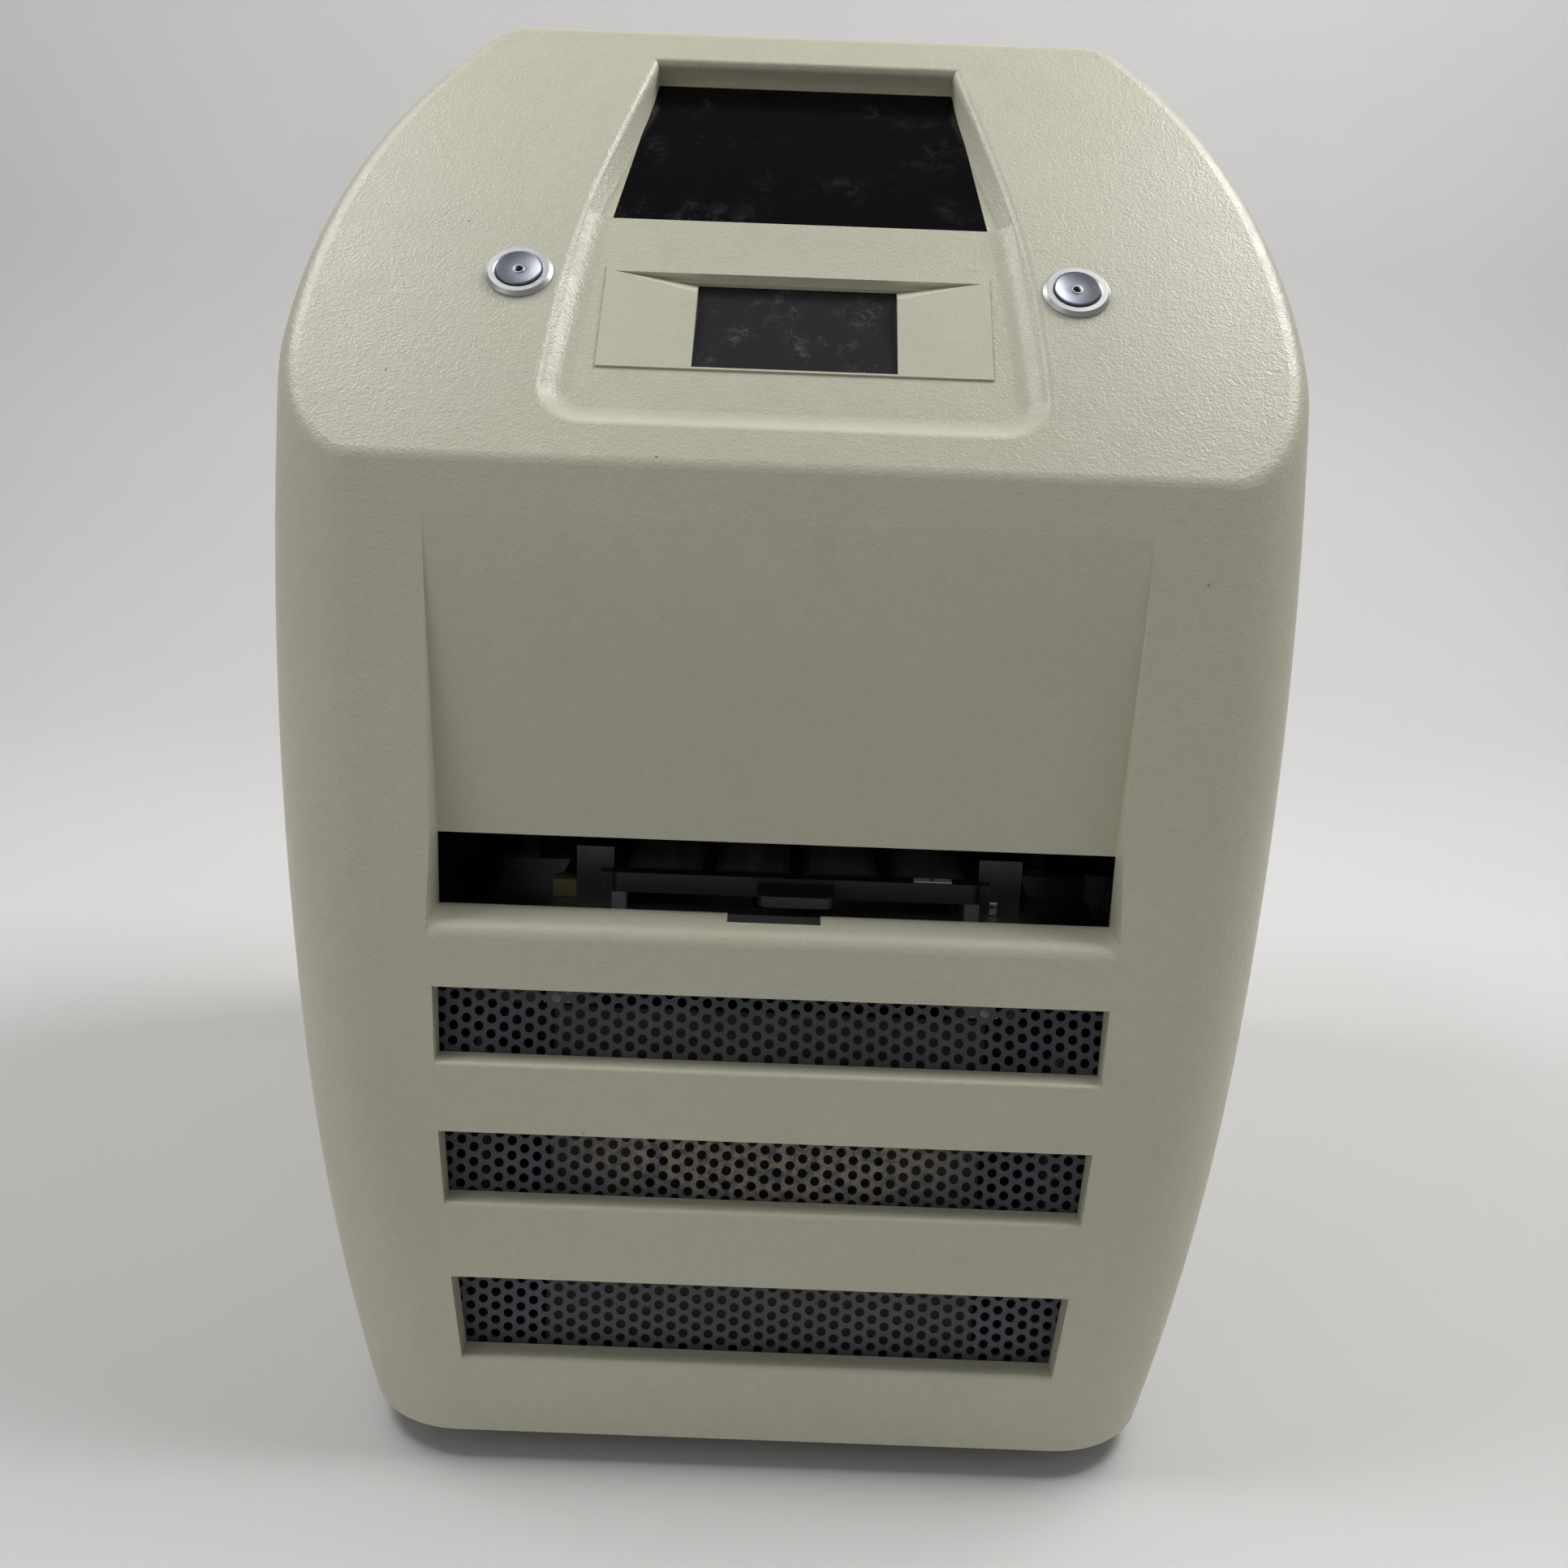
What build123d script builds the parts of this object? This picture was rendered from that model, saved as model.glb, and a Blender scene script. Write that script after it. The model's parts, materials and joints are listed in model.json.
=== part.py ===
from build123d import *
from math import asin, atan, atan2, cos, degrees, hypot, pi, radians, sin, sqrt, tan
import os

# A digital slide scanner: a moulded two-part cover over an optical bench that
# carries a two-axis slide stage, a focusing objective, a camera and a lamp.
# Millimetres. X to the right, the slot side faces -Y, Z up from the table.

# ---------------------------------------------------------------- driving dimensions
# body seen from the side
TOP_Z = 480.0            # flat top
SHELL_BASE_Z = 10.0      # lower edge of the covers, above the feet
DEPTH = 410.0            # front to back
FRONT_BEND_R = 549.0     # bowed lower front
FRONT_BEND_Z = 142.0     # where the bow ends
FRONT_LEAN = 17.0        # lean of the straight front above it, degrees
CREASE_Z = 319.0         # front wall meets the upper face
TOP_EDGE_Y = 36.0        # upper face meets the flat top
FACE_BOW_R = 1874.0      # slight crown of the upper face
REAR_TOP_R = 40.0

# body seen from the front
HALF_WIDTH = 177.5
SHOULDER_Z = 355.0       # widest level
SIDE_BOW_R = 1300.0
SHOULDER_R = 163.0

# edges and walls
FRONT_CORNER_R = 32.0
REAR_CORNER_R = 25.0
FACE_EDGE_R = 9.0
WALL = 4.0
SEAM_Y = 42.0            # parting line of the two covers
SEAL = 1.2               # thickness of the soft seal in the parting line
SEAL_INSET = 0.8         # how far the seal stays behind the skin
GAP = 0.3                # general clearance of seated pieces

# scoop above the slot
SCOOP_TOP_Z = 301.0
SCOOP_TOP_HALF = 119.5
SCOOP_DEPTH = 13.2       # at the slot
SCOOP_BLEND_Z = 262.0    # foot of the soft blend at its top
SCOOP_BLEND_DEPTH = 3.4
SCOOP_BLEND_MID = 1.04   # depth half way up the blend

# slot for the slide tray
SLOT_TOP_Z = 198.0
SLOT_LEDGE_Z = 173.5
SLOT_HALF = 112.0
LEDGE_DEPTH = 20.0
LEDGE_LIP_R = 6.0
NOTCH_HALF = 15.5        # finger notch in the ledge
NOTCH_DEPTH = 3.5
NOTCH_RUN = 9.0

# vents: top, bottom, half width at the top and at the bottom
VENTS = ((154.0, 131.0, 109.0, 107.2), (109.6, 87.0, 105.0, 102.5), (63.0, 36.0, 99.7, 96.0))
VENT_REVEAL = 8.0
VENT_LIP_R = 1.6
SCREEN_THICK = 1.0
SCREEN_GAP = 0.2
SCREEN_MARGIN = 4.0      # overlap of the screen behind the reveals

# display well in the upper face; t runs up the face from the crease
WELL_BOTTOM_T = 15.0
WELL_TOP_T = 206.5
WELL_TOP_HALF = 57.5
WELL_MID_T = 115.0
WELL_MID_HALF = 78.0
WELL_FOOT_HALF = 88.0
WELL_CORNER_R = 18.0
WELL_DEPTH = 5.0         # lower part
WELL_TOP_DEPTH = 10.5    # under the top edge
WELL_WALL_RUN = 20.0     # how far the side walls run in over WELL_DEEP
WELL_TOP_RUN = -1.0
WELL_DEEP = 17.0         # depth at which the wall outline is set out
WELL_LIFT = 6.0          # height of the outer outline over the face's chord
WELL_CROWN = 4.0         # height of the crowned face over its chord, mid length
WELL_FOOT_SPREAD = 8.0
WELL_FOOT_RUN = 28.0
WELL_HEAD_RUN = 7.0
WELL_FLOOR_R = 12.0      # soft edge between floor and walls below the window
WELL_RIM_R = 3.0         # soft rim along sides and foot
WELL_HEAD_R = 2.0        # soft rim over the window

# viewing window in the well
WINDOW_FOOT_T = 119.5
WINDOW_HEAD_T = 208.5
WINDOW_FOOT_HALF = 68.3
WINDOW_HEAD_HALF = 58.5
WINDOW_THICK = 2.5
WINDOW_LAP = 4.0         # glued rim behind the cover

# display insert in the well
INSERT_FOOT_T = 45.5
INSERT_HEAD_T = 94.0
INSERT_HALF = 68.5
INSERT_THICK = 3.0
INSERT_SEAM = 0.15
LCD_HALF = 35.5
LCD_RECESS = 5.0         # at the head of the display
LCD_FOOT_SINK = 0.8      # at its foot
RAMP_DROP = 10.0
RAMP_MARGIN = 1.5
RAMP_BACK = 20.0
RAMP_BACK_THICK = 3.5
LCD_FOOT_MARGIN = 0.8
LCD_HEAD_MARGIN = 2.5
GLASS_THICK = 1.5
MODULE_THICK = 9.0

# push buttons
BUTTON_X = 98.0
BUTTON_T = 83.0
BEZEL_R = 12.0
BEZEL_RISE = 1.8
BARREL_R = 9.5
BARREL_LONG = 26.0
CAP_R = 8.0
CAP_RISE = 2.4
CAP_EDGE = 0.35
CAP_DISH = 0.7
CAP_TRAVEL = 2.0
CAP_DEEP = 4.0
NUT_R = 13.0
NUT_THICK = 4.0
LAMP_R = 1.6

# base
PLATE_THICK = 3.0
LUG_INNER_X = HALF_WIDTH - 67.5      # lugs of the covers on the floor plate
LUG_HALF = 8.0
LUG_HIGH = 9.0
FRONT_LUG_Y = (-70.0, 16.0)
REAR_LUG_Y = (66.0, 134.0)
PLATE_GAP = 0.4
FOOT_R = 16.0
FOOT_X = HALF_WIDTH - 77.5
FOOT_Y = DEPTH / 2 - 45.0
FOOT_SCREW_R = 2.5
FOOT_SCREW_HEAD_R = 5.0

# optical bench
BENCH_TOP_Z = 128.0
BENCH_THICK = 12.0
BENCH_HALF = 122.0
BENCH_FRONT_Y = -130.0
BENCH_REAR_Y = 165.0
POST_R = 9.0
POST_X = HALF_WIDTH - 69.5
POST_FRONT_Y = -105.0
POST_REAR_Y = 100.0

# slide stage
OPTIC_X = 7.0            # optical axis
OPTIC_Y = -20.0
RAIL_HALF = 6.0
RAIL_HIGH = 10.0
RAIL_X = 75.0
RAIL_FRONT_Y = -128.0
RAIL_REAR_Y = 118.0
RUN = 0.06               # running clearance of the carriages
CARRIAGE_X = (-110.0, HALF_WIDTH - 53.5)
CARRIAGE_Y = (-138.0, 6.0)
CARRIAGE_THICK = 8.0
CARRIAGE_LIFT = 3.0      # plate above the rail heads
BLOCK_HALF = 13.0
BLOCK_LONG = 22.0
CROSS_RAIL_HALF = 4.5
CROSS_RAIL_HIGH = 8.0
CROSS_RAIL_Y = (-130.0, -44.0)
SLIDE_PLATE_THICK = 8.0
SLIDE_LIFT = 3.0
SLIDE_X = (-78.0, 92.0)
SLIDE_Y = (-138.0, -36.0)
SCREW_R = 4.0
Y_SCREW_X = -98.0
X_SCREW_Y = -8.0
MOTOR_SIZE = 42.0
SMALL_MOTOR = 28.0

MOTOR_LONG = 34.0
X_SCREW_R = 3.0
X_JOURNAL_R = 2.2
JOURNAL_GAP = 0.05
BEARING_LONG = 8.0
Y_BEARING_FRONT = -128.0
Y_BEARING_REAR = 120.0
Y_MOTOR_Y = 132.0
Y_NUT_Y = -62.0
Y_SCREW_Z = 134.5
X_BEARING_LEFT = -108.0
X_BEARING_RIGHT = HALF_WIDTH - 70.5
X_BEARING_LONG = 7.0
LIGHT_HALF = 16.0        # light window of the lower plate
LIGHT_Y = (-124.0, -52.0)
SLIDE_BLOCK_X = 46.0
SLIDE_BLOCK_HALF = 8.0

# slide tray
TRAY_CENTRE_X = 7.15
TRAY_HALF = 63.3
TRAY_BOTTOM_Z = 174.0
TRAY_TOP_Z = 181.0
TRAY_FRONT_Y = -136.0
TRAY_DEPTH = 88.0
TAB_HALF = 13.0
TAB_REACH = 15.0
TAB_Z = (175.5, 179.3)
GLASS_LONG = 76.0
GLASS_WIDE = 26.0
GLASS_SLIDE_THICK = 1.0
GLASS_PITCH = 30.5
GLASS_COUNT = 4
GUIDE_TOP_Z = 187.0
GUIDE_GAP = 0.4
FENCE_WIDE = 4.0
LEFT_LUG_WIDE = 13.0
RIGHT_LUG_WIDE = 15.0
SEAT_WIDE = 5.0
TRAY_RIM = 6.0
GLASS_GAP = 0.4
POCKET_DEEP = 1.5
LABEL_X = 47.0

# optics
COLUMN_HALF = 60.0
COLUMN_Y = (136.0, 160.0)
COLUMN_TOP_Z = 300.0
ARM_HALF = 30.0
ARM_Z = (240.0, 290.0)
HEAD_HALF = 40.0
HEAD_Y = (10.0, 30.0)
HEAD_Z = (205.0, 340.0)
OBJECTIVE_TIP_Z = 183.0
FOCUS_TOP_Z = 262.0
RING_Z = (226.0, 246.0)
OBJECTIVE_R = 16.0
TUBE_R = 20.0
TUBE_Z = (268.0, 312.0)
TUBE_CLAMP_Z = (280.0, 300.0)
CAMERA_HIGH = 48.0
CAMERA_HALF = 28.0
CAMERA_FIN = 3.0
CONDENSER_R = 18.0
LAMP_HIGH = 46.0
ACTUATOR_X = 32.0
ACTUATOR_ROD_R = 2.0

# power and control
SUPPLY_BOX = (-(POST_X - POST_R - 5.0), -14.0, -60.0, 120.0)
SUPPLY_HIGH = 40.0
BOARD_BOX = (0.0, POST_X - POST_R - 5.0, -60.0, 120.0)
BOARD_Z = 21.0
# parts on the board: x, y, wide, deep, high
BOARD_PARTS = ((30, 40, 28, 28, 3), (68, 46, 20, 30, 9), (24, 96, 18, 18, 2.5), (64, 110, 40, 22, 12), (47, 168, 80, 10, 11))

# air filter behind the vents
FILTER_Z = (34.0, 144.0)
FILTER_BEHIND = 6.0
FILTER_HALF = 71.0
FILTER_OPEN = 39.0
FILTER_SIDE = 22.0
FILTER_THICK = 3.0
FOAM_THICK = 8.0

# rear
REAR_RECESS = 5.0
REAR_PANEL_X = 112.0
REAR_PANEL_Z = (34.0, 174.0)
REAR_PANEL_THICK = 2.0
FAN_SIZE = 80.0
FAN_DEEP = 25.0
FAN_X = 58.0
FAN_Z = 122.0
INLET_X = -70.0
INLET_Z = 62.0
PORT_X = 10.0
PORT_Z = 56.0
REAR_LIP = 7.0
ROCKER_Z = 108.0
ROCKER_TILT = 16.0
ROCKER_SINK = 4.0        # pivot behind the panel face
ROCKER_PIN_R = 1.5
FAN_BORE_R = 37.5
FAN_HUB_R = 16.0
FAN_SHAFT_R = 3.0
FAN_BLADES = 7
GUARD_WIRE = 0.9

# ---------------------------------------------------------------- derived sizes
FRONT_Y = -DEPTH / 2
REAR_Y = DEPTH / 2
FRONT_BEND_CENTRE_Z = FRONT_BEND_Z - FRONT_BEND_R * sin(radians(FRONT_LEAN))
FRONT_BEND_Y = FRONT_Y + sqrt(FRONT_BEND_R**2 - (SHELL_BASE_Z - FRONT_BEND_CENTRE_Z) ** 2)
BEND_END_Y = FRONT_BEND_Y - FRONT_BEND_R * cos(radians(FRONT_LEAN))
CREASE_Y = BEND_END_Y + (CREASE_Z - FRONT_BEND_Z) * tan(radians(FRONT_LEAN))
BEYOND = 60.0            # how far cutting tools reach past the body

PLATE_TOP_Z = SHELL_BASE_Z + PLATE_THICK
RAIL_TOP_Z = BENCH_TOP_Z + RAIL_HIGH
CARRIAGE_Z = RAIL_TOP_Z + CARRIAGE_LIFT
CARRIAGE_TOP_Z = CARRIAGE_Z + CARRIAGE_THICK
CROSS_TOP_Z = CARRIAGE_TOP_Z + CROSS_RAIL_HIGH
SLIDE_Z = CROSS_TOP_Z + SLIDE_LIFT
SLIDE_TOP_Z = SLIDE_Z + SLIDE_PLATE_THICK
X_SCREW_Z = CARRIAGE_TOP_Z + SMALL_MOTOR / 2
REAR_PANEL_Y = REAR_Y - REAR_RECESS


def face_centre():
    """Centre (y, z) of the arc that crowns the upper face."""
    rise = TOP_Z - CREASE_Z
    run = TOP_EDGE_Y - CREASE_Y
    chord = hypot(run, rise)
    back = sqrt(FACE_BOW_R**2 - chord**2 / 4)
    mid_y = (CREASE_Y + TOP_EDGE_Y) / 2
    mid_z = (CREASE_Z + TOP_Z) / 2
    return mid_y + rise / chord * back, mid_z - run / chord * back


FACE_CY, FACE_CZ = face_centre()
FACE_START = atan2(CREASE_Z - FACE_CZ, CREASE_Y - FACE_CY)


def face_point(t, depth=0.0):
    """Point (y, z) at length t up the upper face, sunk by depth."""
    angle = FACE_START - t / FACE_BOW_R
    reach = FACE_BOW_R - depth
    return FACE_CY + reach * cos(angle), FACE_CZ + reach * sin(angle)


def face_plane(t, x=0.0, depth=0.0):
    """Plane on the upper face: local X to the right, local Y up the face, Z outwards."""
    y, z = face_point(t, depth)
    angle = FACE_START - t / FACE_BOW_R
    return Plane(origin=(x, y, z), x_dir=(1, 0, 0), z_dir=(0, cos(angle), sin(angle)))


def slope_plane(low, high):
    """Plane through two (y, z) points on the centre line, local Y running from low to high."""
    run = high[0] - low[0]
    rise = high[1] - low[1]
    return Plane(origin=(0, low[0], low[1]), x_dir=(1, 0, 0), z_dir=(0, -rise, run))


def block(x0, x1, y0, y1, z0, z1):
    """Box between two corners."""
    box = Box(x1 - x0, y1 - y0, z1 - z0)
    return Pos((x0 + x1) / 2, (y0 + y1) / 2, (z0 + z1) / 2) * box


def rod(radius, start, end):
    """Cylinder between two points."""
    run = Vector(*end) - Vector(*start)
    plane = Plane(origin=start, z_dir=run)
    return extrude(plane * Circle(radius), amount=run.length)


def prism_x(points, half):
    """Side profile (y, z) pushed out to both sides."""
    return extrude(Plane.YZ * make_face(Polyline(*points, close=True)), amount=half, both=True)


def prism_y(points, y0, y1):
    """Front outline (x, z) pushed along Y."""
    outline = Plane.XZ * make_face(Polyline(*points, close=True))
    return Pos(0, y1, 0) * extrude(outline, amount=y1 - y0)


def front_surface_y(z, inset=0.0):
    """Y of the front wall on the centre line at height z."""
    if z < FRONT_BEND_Z:
        reach = FRONT_BEND_R - inset
        return FRONT_BEND_Y - sqrt(reach**2 - (z - FRONT_BEND_CENTRE_Z) ** 2)
    lean = radians(FRONT_LEAN)
    return BEND_END_Y + (z - FRONT_BEND_Z) * tan(lean) + inset / cos(lean)


# ---------------------------------------------------------------- body form
def elevation_solid(inset):
    """Front outline of the body, inset all round, as a bar along Y."""
    low_z = -BEYOND
    top_z = TOP_Z - inset
    side_cx = HALF_WIDTH - SIDE_BOW_R
    side_r = SIDE_BOW_R - inset
    shoulder_cx = HALF_WIDTH - SHOULDER_R
    shoulder_r = SHOULDER_R - inset
    low_angle = asin((low_z - SHOULDER_Z) / side_r)
    top_angle = asin((top_z - SHOULDER_Z) / shoulder_r)

    def side(angle):
        return side_cx + side_r * cos(angle), SHOULDER_Z + side_r * sin(angle)

    def shoulder(angle):
        return shoulder_cx + shoulder_r * cos(angle), SHOULDER_Z + shoulder_r * sin(angle)

    flank = ThreePointArc(side(low_angle), side(low_angle / 2), side(0))
    brow = ThreePointArc(shoulder(0), shoulder(top_angle / 2), shoulder(top_angle))
    half = make_face(
        Wire([
            flank,
            brow,
            Line(shoulder(top_angle), (0, top_z)),
            Line((0, top_z), (0, low_z)),
            Line((0, low_z), side(low_angle)),
        ])
    )
    whole = half + mirror(half, about=Plane.YZ)
    return extrude(Plane.XZ * whole, amount=DEPTH, both=True)


def profile_solid(inset):
    """Side profile of the body without the upper face, as a bar along X."""
    low_z = -BEYOND
    top_z = TOP_Z - inset
    lean = radians(FRONT_LEAN)
    reach = FRONT_BEND_R - inset
    rear_y = REAR_Y - inset
    round_r = REAR_TOP_R - inset

    def bend(angle):
        return FRONT_BEND_Y - reach * cos(angle), FRONT_BEND_CENTRE_Z + reach * sin(angle)

    start = asin((low_z - FRONT_BEND_CENTRE_Z) / reach)
    knee = bend(lean)
    head = (knee[0] + (top_z - knee[1]) * tan(lean), top_z)
    wire = Wire([
        ThreePointArc(bend(start), bend((start + lean) / 2), knee),
        Line(knee, head),
        Line(head, (rear_y - round_r, top_z)),
        RadiusArc((rear_y - round_r, top_z), (rear_y, top_z - round_r), round_r),
        Line((rear_y, top_z - round_r), (rear_y, low_z)),
        Line((rear_y, low_z), bend(start)),
    ])
    return extrude(Plane.YZ * make_face(wire), amount=HALF_WIDTH + BEYOND, both=True)


def above_face(inset):
    """Everything in front of and above the crowned upper face."""
    margin = BEYOND
    length = hypot(TOP_EDGE_Y - CREASE_Y, TOP_Z - CREASE_Z)
    low = face_point(-margin, inset)
    mid = face_point(length / 2, inset)
    high = face_point(length + margin, inset)
    crest_z = high[1] + BEYOND
    out_y = low[0] - 3 * BEYOND
    wire = Wire([
        ThreePointArc(low, mid, high),
        Line(high, (high[0], crest_z)),
        Line((high[0], crest_z), (out_y, crest_z)),
        Line((out_y, crest_z), (out_y, low[1])),
        Line((out_y, low[1]), low),
    ])
    return extrude(Plane.YZ * make_face(wire), amount=HALF_WIDTH + BEYOND, both=True)


def body_form(inset, soft_face=True):
    """The whole rounded body as one solid, inset by the given amount."""
    body = elevation_solid(inset) & profile_solid(inset)

    def flank_edges(rear):
        picked = []
        for edge in body.edges():
            box = edge.bounding_box()
            middle = edge.center()
            if abs(middle.X) > HALF_WIDTH / 2 and box.size.Z > 8 and (middle.Y > 0) == rear:
                if box.size.Y < DEPTH / 2:
                    picked.append(edge)
        return picked

    body = fillet(flank_edges(False), FRONT_CORNER_R - inset)
    body = fillet(flank_edges(True), REAR_CORNER_R - inset)
    body = body - above_face(inset)
    if not soft_face:
        return body
    upper = [f for f in body.faces() if f.normal_at().Y < -0.5 and f.normal_at().Z > 0.5]
    largest = max(upper, key=lambda f: f.area)
    return fillet(largest.edges(), FACE_EDGE_R - inset)


def ahead_of_seam(y):
    """Half space in front of y, above the base edge."""
    wide = HALF_WIDTH + BEYOND
    return block(-wide, wide, -DEPTH, y, SHELL_BASE_Z, TOP_Z + BEYOND)


def behind_seam(y):
    """Half space behind y, above the base edge."""
    wide = HALF_WIDTH + BEYOND
    return block(-wide, wide, y, DEPTH, SHELL_BASE_Z, TOP_Z + BEYOND)


# ---------------------------------------------------------------- front cover features
def scoop_tool(grow=0.0):
    """Shallow drafted recess that sinks towards the slot and blends into the wall at its top."""
    top_z = SCOOP_TOP_Z + grow
    low_half = SLOT_HALF + grow
    top_half = SCOOP_TOP_HALF + grow
    start_y = FRONT_Y - BEYOND
    outline = Polyline((-low_half, SLOT_TOP_Z), (low_half, SLOT_TOP_Z), (top_half, top_z), (-top_half, top_z), close=True)
    plane = Plane(origin=(0, start_y, 0), x_dir=(1, 0, 0), z_dir=(0, -1, 0))
    cut = extrude(plane * make_face(outline), amount=-DEPTH)
    levels = ((SCOOP_TOP_Z, 0.0), ((SCOOP_TOP_Z + SCOOP_BLEND_Z) / 2, SCOOP_BLEND_MID), (SCOOP_BLEND_Z, SCOOP_BLEND_DEPTH), (SLOT_TOP_Z, SCOOP_DEPTH))
    top, middle, blend, low = [(front_surface_y(z) + depth + grow, z) for z, depth in levels]
    fall = (blend[0] - low[0]) / (blend[1] - low[1])
    past_low = (low[0] - fall * BEYOND, low[1] - BEYOND)
    rise = (top[0] - middle[0]) / (top[1] - middle[1])
    past_top = (top[0] + rise * BEYOND, top[1] + BEYOND)
    front = start_y - BEYOND
    profile = Wire([
        Line(past_low, blend), ThreePointArc(blend, middle, top), Line(top, past_top),
        Line(past_top, (front, past_top[1])), Line((front, past_top[1]), (front, past_low[1])), Line((front, past_low[1]), past_low),
    ])
    reach = extrude(Plane.YZ * make_face(profile), amount=HALF_WIDTH, both=True)
    return cut & reach


def vent_tool(top_z, low_z, top_half, low_half):
    """Through cut for one vent."""
    points = [(-low_half, low_z), (low_half, low_z), (top_half, top_z), (-top_half, top_z)]
    return prism_y(points, FRONT_Y - BEYOND, -HALF_WIDTH / 2)


def vent_block():
    """Box round the three vents, where the front wall is thicker."""
    half = VENTS[0][2] + 2 * SCREEN_MARGIN
    low = VENTS[-1][1] - 2 * SCREEN_MARGIN
    high = VENTS[0][0] + 1.5 * SCREEN_MARGIN
    return block(-half, half, FRONT_Y - BEYOND, -HALF_WIDTH / 2, low, high)


def slot_block(grow):
    """Space of the slot mouth, or with grow the frame that lines it."""
    back = front_surface_y(SLOT_LEDGE_Z) + LEDGE_DEPTH
    half = SLOT_HALF + grow
    front = FRONT_Y - BEYOND
    return block(-half, half, front, back, SLOT_LEDGE_Z - grow, SLOT_TOP_Z + grow)


def well_outline(plane, half_top, half_mid, half_foot, foot_t, head_t, corner):
    """Closed outline of the display well, set out in the given plane from the crease."""
    mid_t = WELL_MID_T
    right = ThreePointArc((half_foot, foot_t), (half_mid, mid_t), (half_top, head_t))
    left = ThreePointArc((-half_top, head_t), (-half_mid, mid_t), (-half_foot, foot_t))
    wire = Wire([
        Line((-half_foot, foot_t), (half_foot, foot_t)),
        right,
        Line((half_top, head_t), (-half_top, head_t)),
        left,
    ])
    face = make_face(wire)
    foot_corners = face.vertices().sort_by(Axis.Y)[:2]
    return plane * fillet(foot_corners, corner)


def well_tool(grow=0.0):
    """Flared dish of the display well."""
    chord = slope_plane(face_point(0), face_point(hypot(TOP_EDGE_Y - CREASE_Y, TOP_Z - CREASE_Z)))
    lift = chord.offset(WELL_LIFT)
    deep = chord.offset(-WELL_DEEP)
    flare = WELL_WALL_RUN / (WELL_DEEP + WELL_LIFT)
    top = well_outline(
        lift,
        WELL_TOP_HALF + grow,
        WELL_MID_HALF + WELL_CROWN * flare + grow,
        WELL_FOOT_HALF + WELL_CROWN * flare + grow,
        WELL_BOTTOM_T - WELL_FOOT_SPREAD * flare - grow,
        WELL_TOP_T + grow,
        WELL_CORNER_R,
    )
    bottom = well_outline(
        deep,
        WELL_TOP_HALF - WELL_TOP_RUN + grow,
        WELL_MID_HALF - WELL_WALL_RUN + grow,
        WELL_FOOT_HALF - WELL_WALL_RUN + grow,
        WELL_BOTTOM_T + WELL_FOOT_RUN - grow,
        WELL_TOP_T + WELL_HEAD_RUN + grow,
        WELL_CORNER_R / 2,
    )
    sides = loft([top, bottom], ruled=True)
    low_in = face_point(WELL_BOTTOM_T, WELL_DEPTH + grow)
    knee = face_point(WINDOW_FOOT_T, WELL_DEPTH + grow)
    head = face_point(WINDOW_HEAD_T + 2.0, WELL_TOP_DEPTH + grow)
    low_out = (2 * low_in[0] - knee[0], 2 * low_in[1] - knee[1])
    past = (2 * head[0] - knee[0], 2 * head[1] - knee[1])
    above = face_point(WINDOW_FOOT_T, -BEYOND)
    below = face_point(2 * WELL_BOTTOM_T - WINDOW_FOOT_T, -BEYOND)
    beyond = face_point(2 * WINDOW_HEAD_T - WINDOW_FOOT_T, -BEYOND)
    bowl = sides & prism_x([low_out, knee, above, below], HALF_WIDTH)
    throat = sides & prism_x([knee, past, beyond, above], HALF_WIDTH)
    if grow == 0:
        bowl = fillet(floor_edges(bowl), WELL_FLOOR_R)
    return bowl, throat


def sunk(point):
    """Depth of a point under the upper face's arc."""
    return FACE_BOW_R - hypot(point.Y - FACE_CY, point.Z - FACE_CZ)


def floor_edges(bowl):
    """Edges of the well's lower floor at its walls."""
    knee_y, knee_z = face_point(WINDOW_FOOT_T, WELL_DEPTH)
    picked = []
    for edge in bowl.edges():
        middle = edge @ 0.5
        off_knee = hypot(middle.Y - knee_y, middle.Z - knee_z)
        if abs(sunk(middle) - WELL_DEPTH) < WELL_DEPTH / 3 and off_knee > 2.0:
            picked.append(edge)
    return picked


def rim_edges(cover):
    """Edges of the well's rim along its sides and foot."""
    head_z = face_point(WELL_TOP_T)[1]
    picked = []
    for edge in cover.edges():
        middle = edge @ 0.5
        on_skin = all(abs(sunk(edge @ share)) < GAP for share in (0.1, 0.5, 0.9))
        in_well = CREASE_Z + WELL_CROWN < middle.Z < head_z - WALL and abs(middle.X) < WELL_FOOT_HALF + WELL_FOOT_SPREAD
        if on_skin and in_well:
            picked.append(edge)
    return picked


def window_plane():
    """Plane of the sloping window floor in the well, from its foot up."""
    return slope_plane(face_point(WINDOW_FOOT_T, WELL_DEPTH), face_point(WINDOW_HEAD_T + 2.0, WELL_TOP_DEPTH))


def window_face(shrink):
    """Trapezoid of the viewing window, less a margin."""
    low = face_point(WINDOW_FOOT_T, WELL_DEPTH)
    high = face_point(WINDOW_HEAD_T, WELL_TOP_DEPTH)
    long = hypot(high[0] - low[0], high[1] - low[1])
    foot = WINDOW_FOOT_HALF - shrink
    head = WINDOW_HEAD_HALF - shrink
    points = [(-foot, shrink), (foot, shrink), (head, long - shrink), (-head, long - shrink)]
    return window_plane() * make_face(Polyline(*points, close=True))


def insert_plane():
    """Plane of the well floor round the display insert, from the insert's foot up."""
    return slope_plane(face_point(INSERT_FOOT_T, WELL_DEPTH), face_point(INSERT_HEAD_T, WELL_DEPTH))


def insert_long():
    """Length of the display insert up the floor."""
    low = face_point(INSERT_FOOT_T, WELL_DEPTH)
    high = face_point(INSERT_HEAD_T, WELL_DEPTH)
    return hypot(high[0] - low[0], high[1] - low[1])


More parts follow.
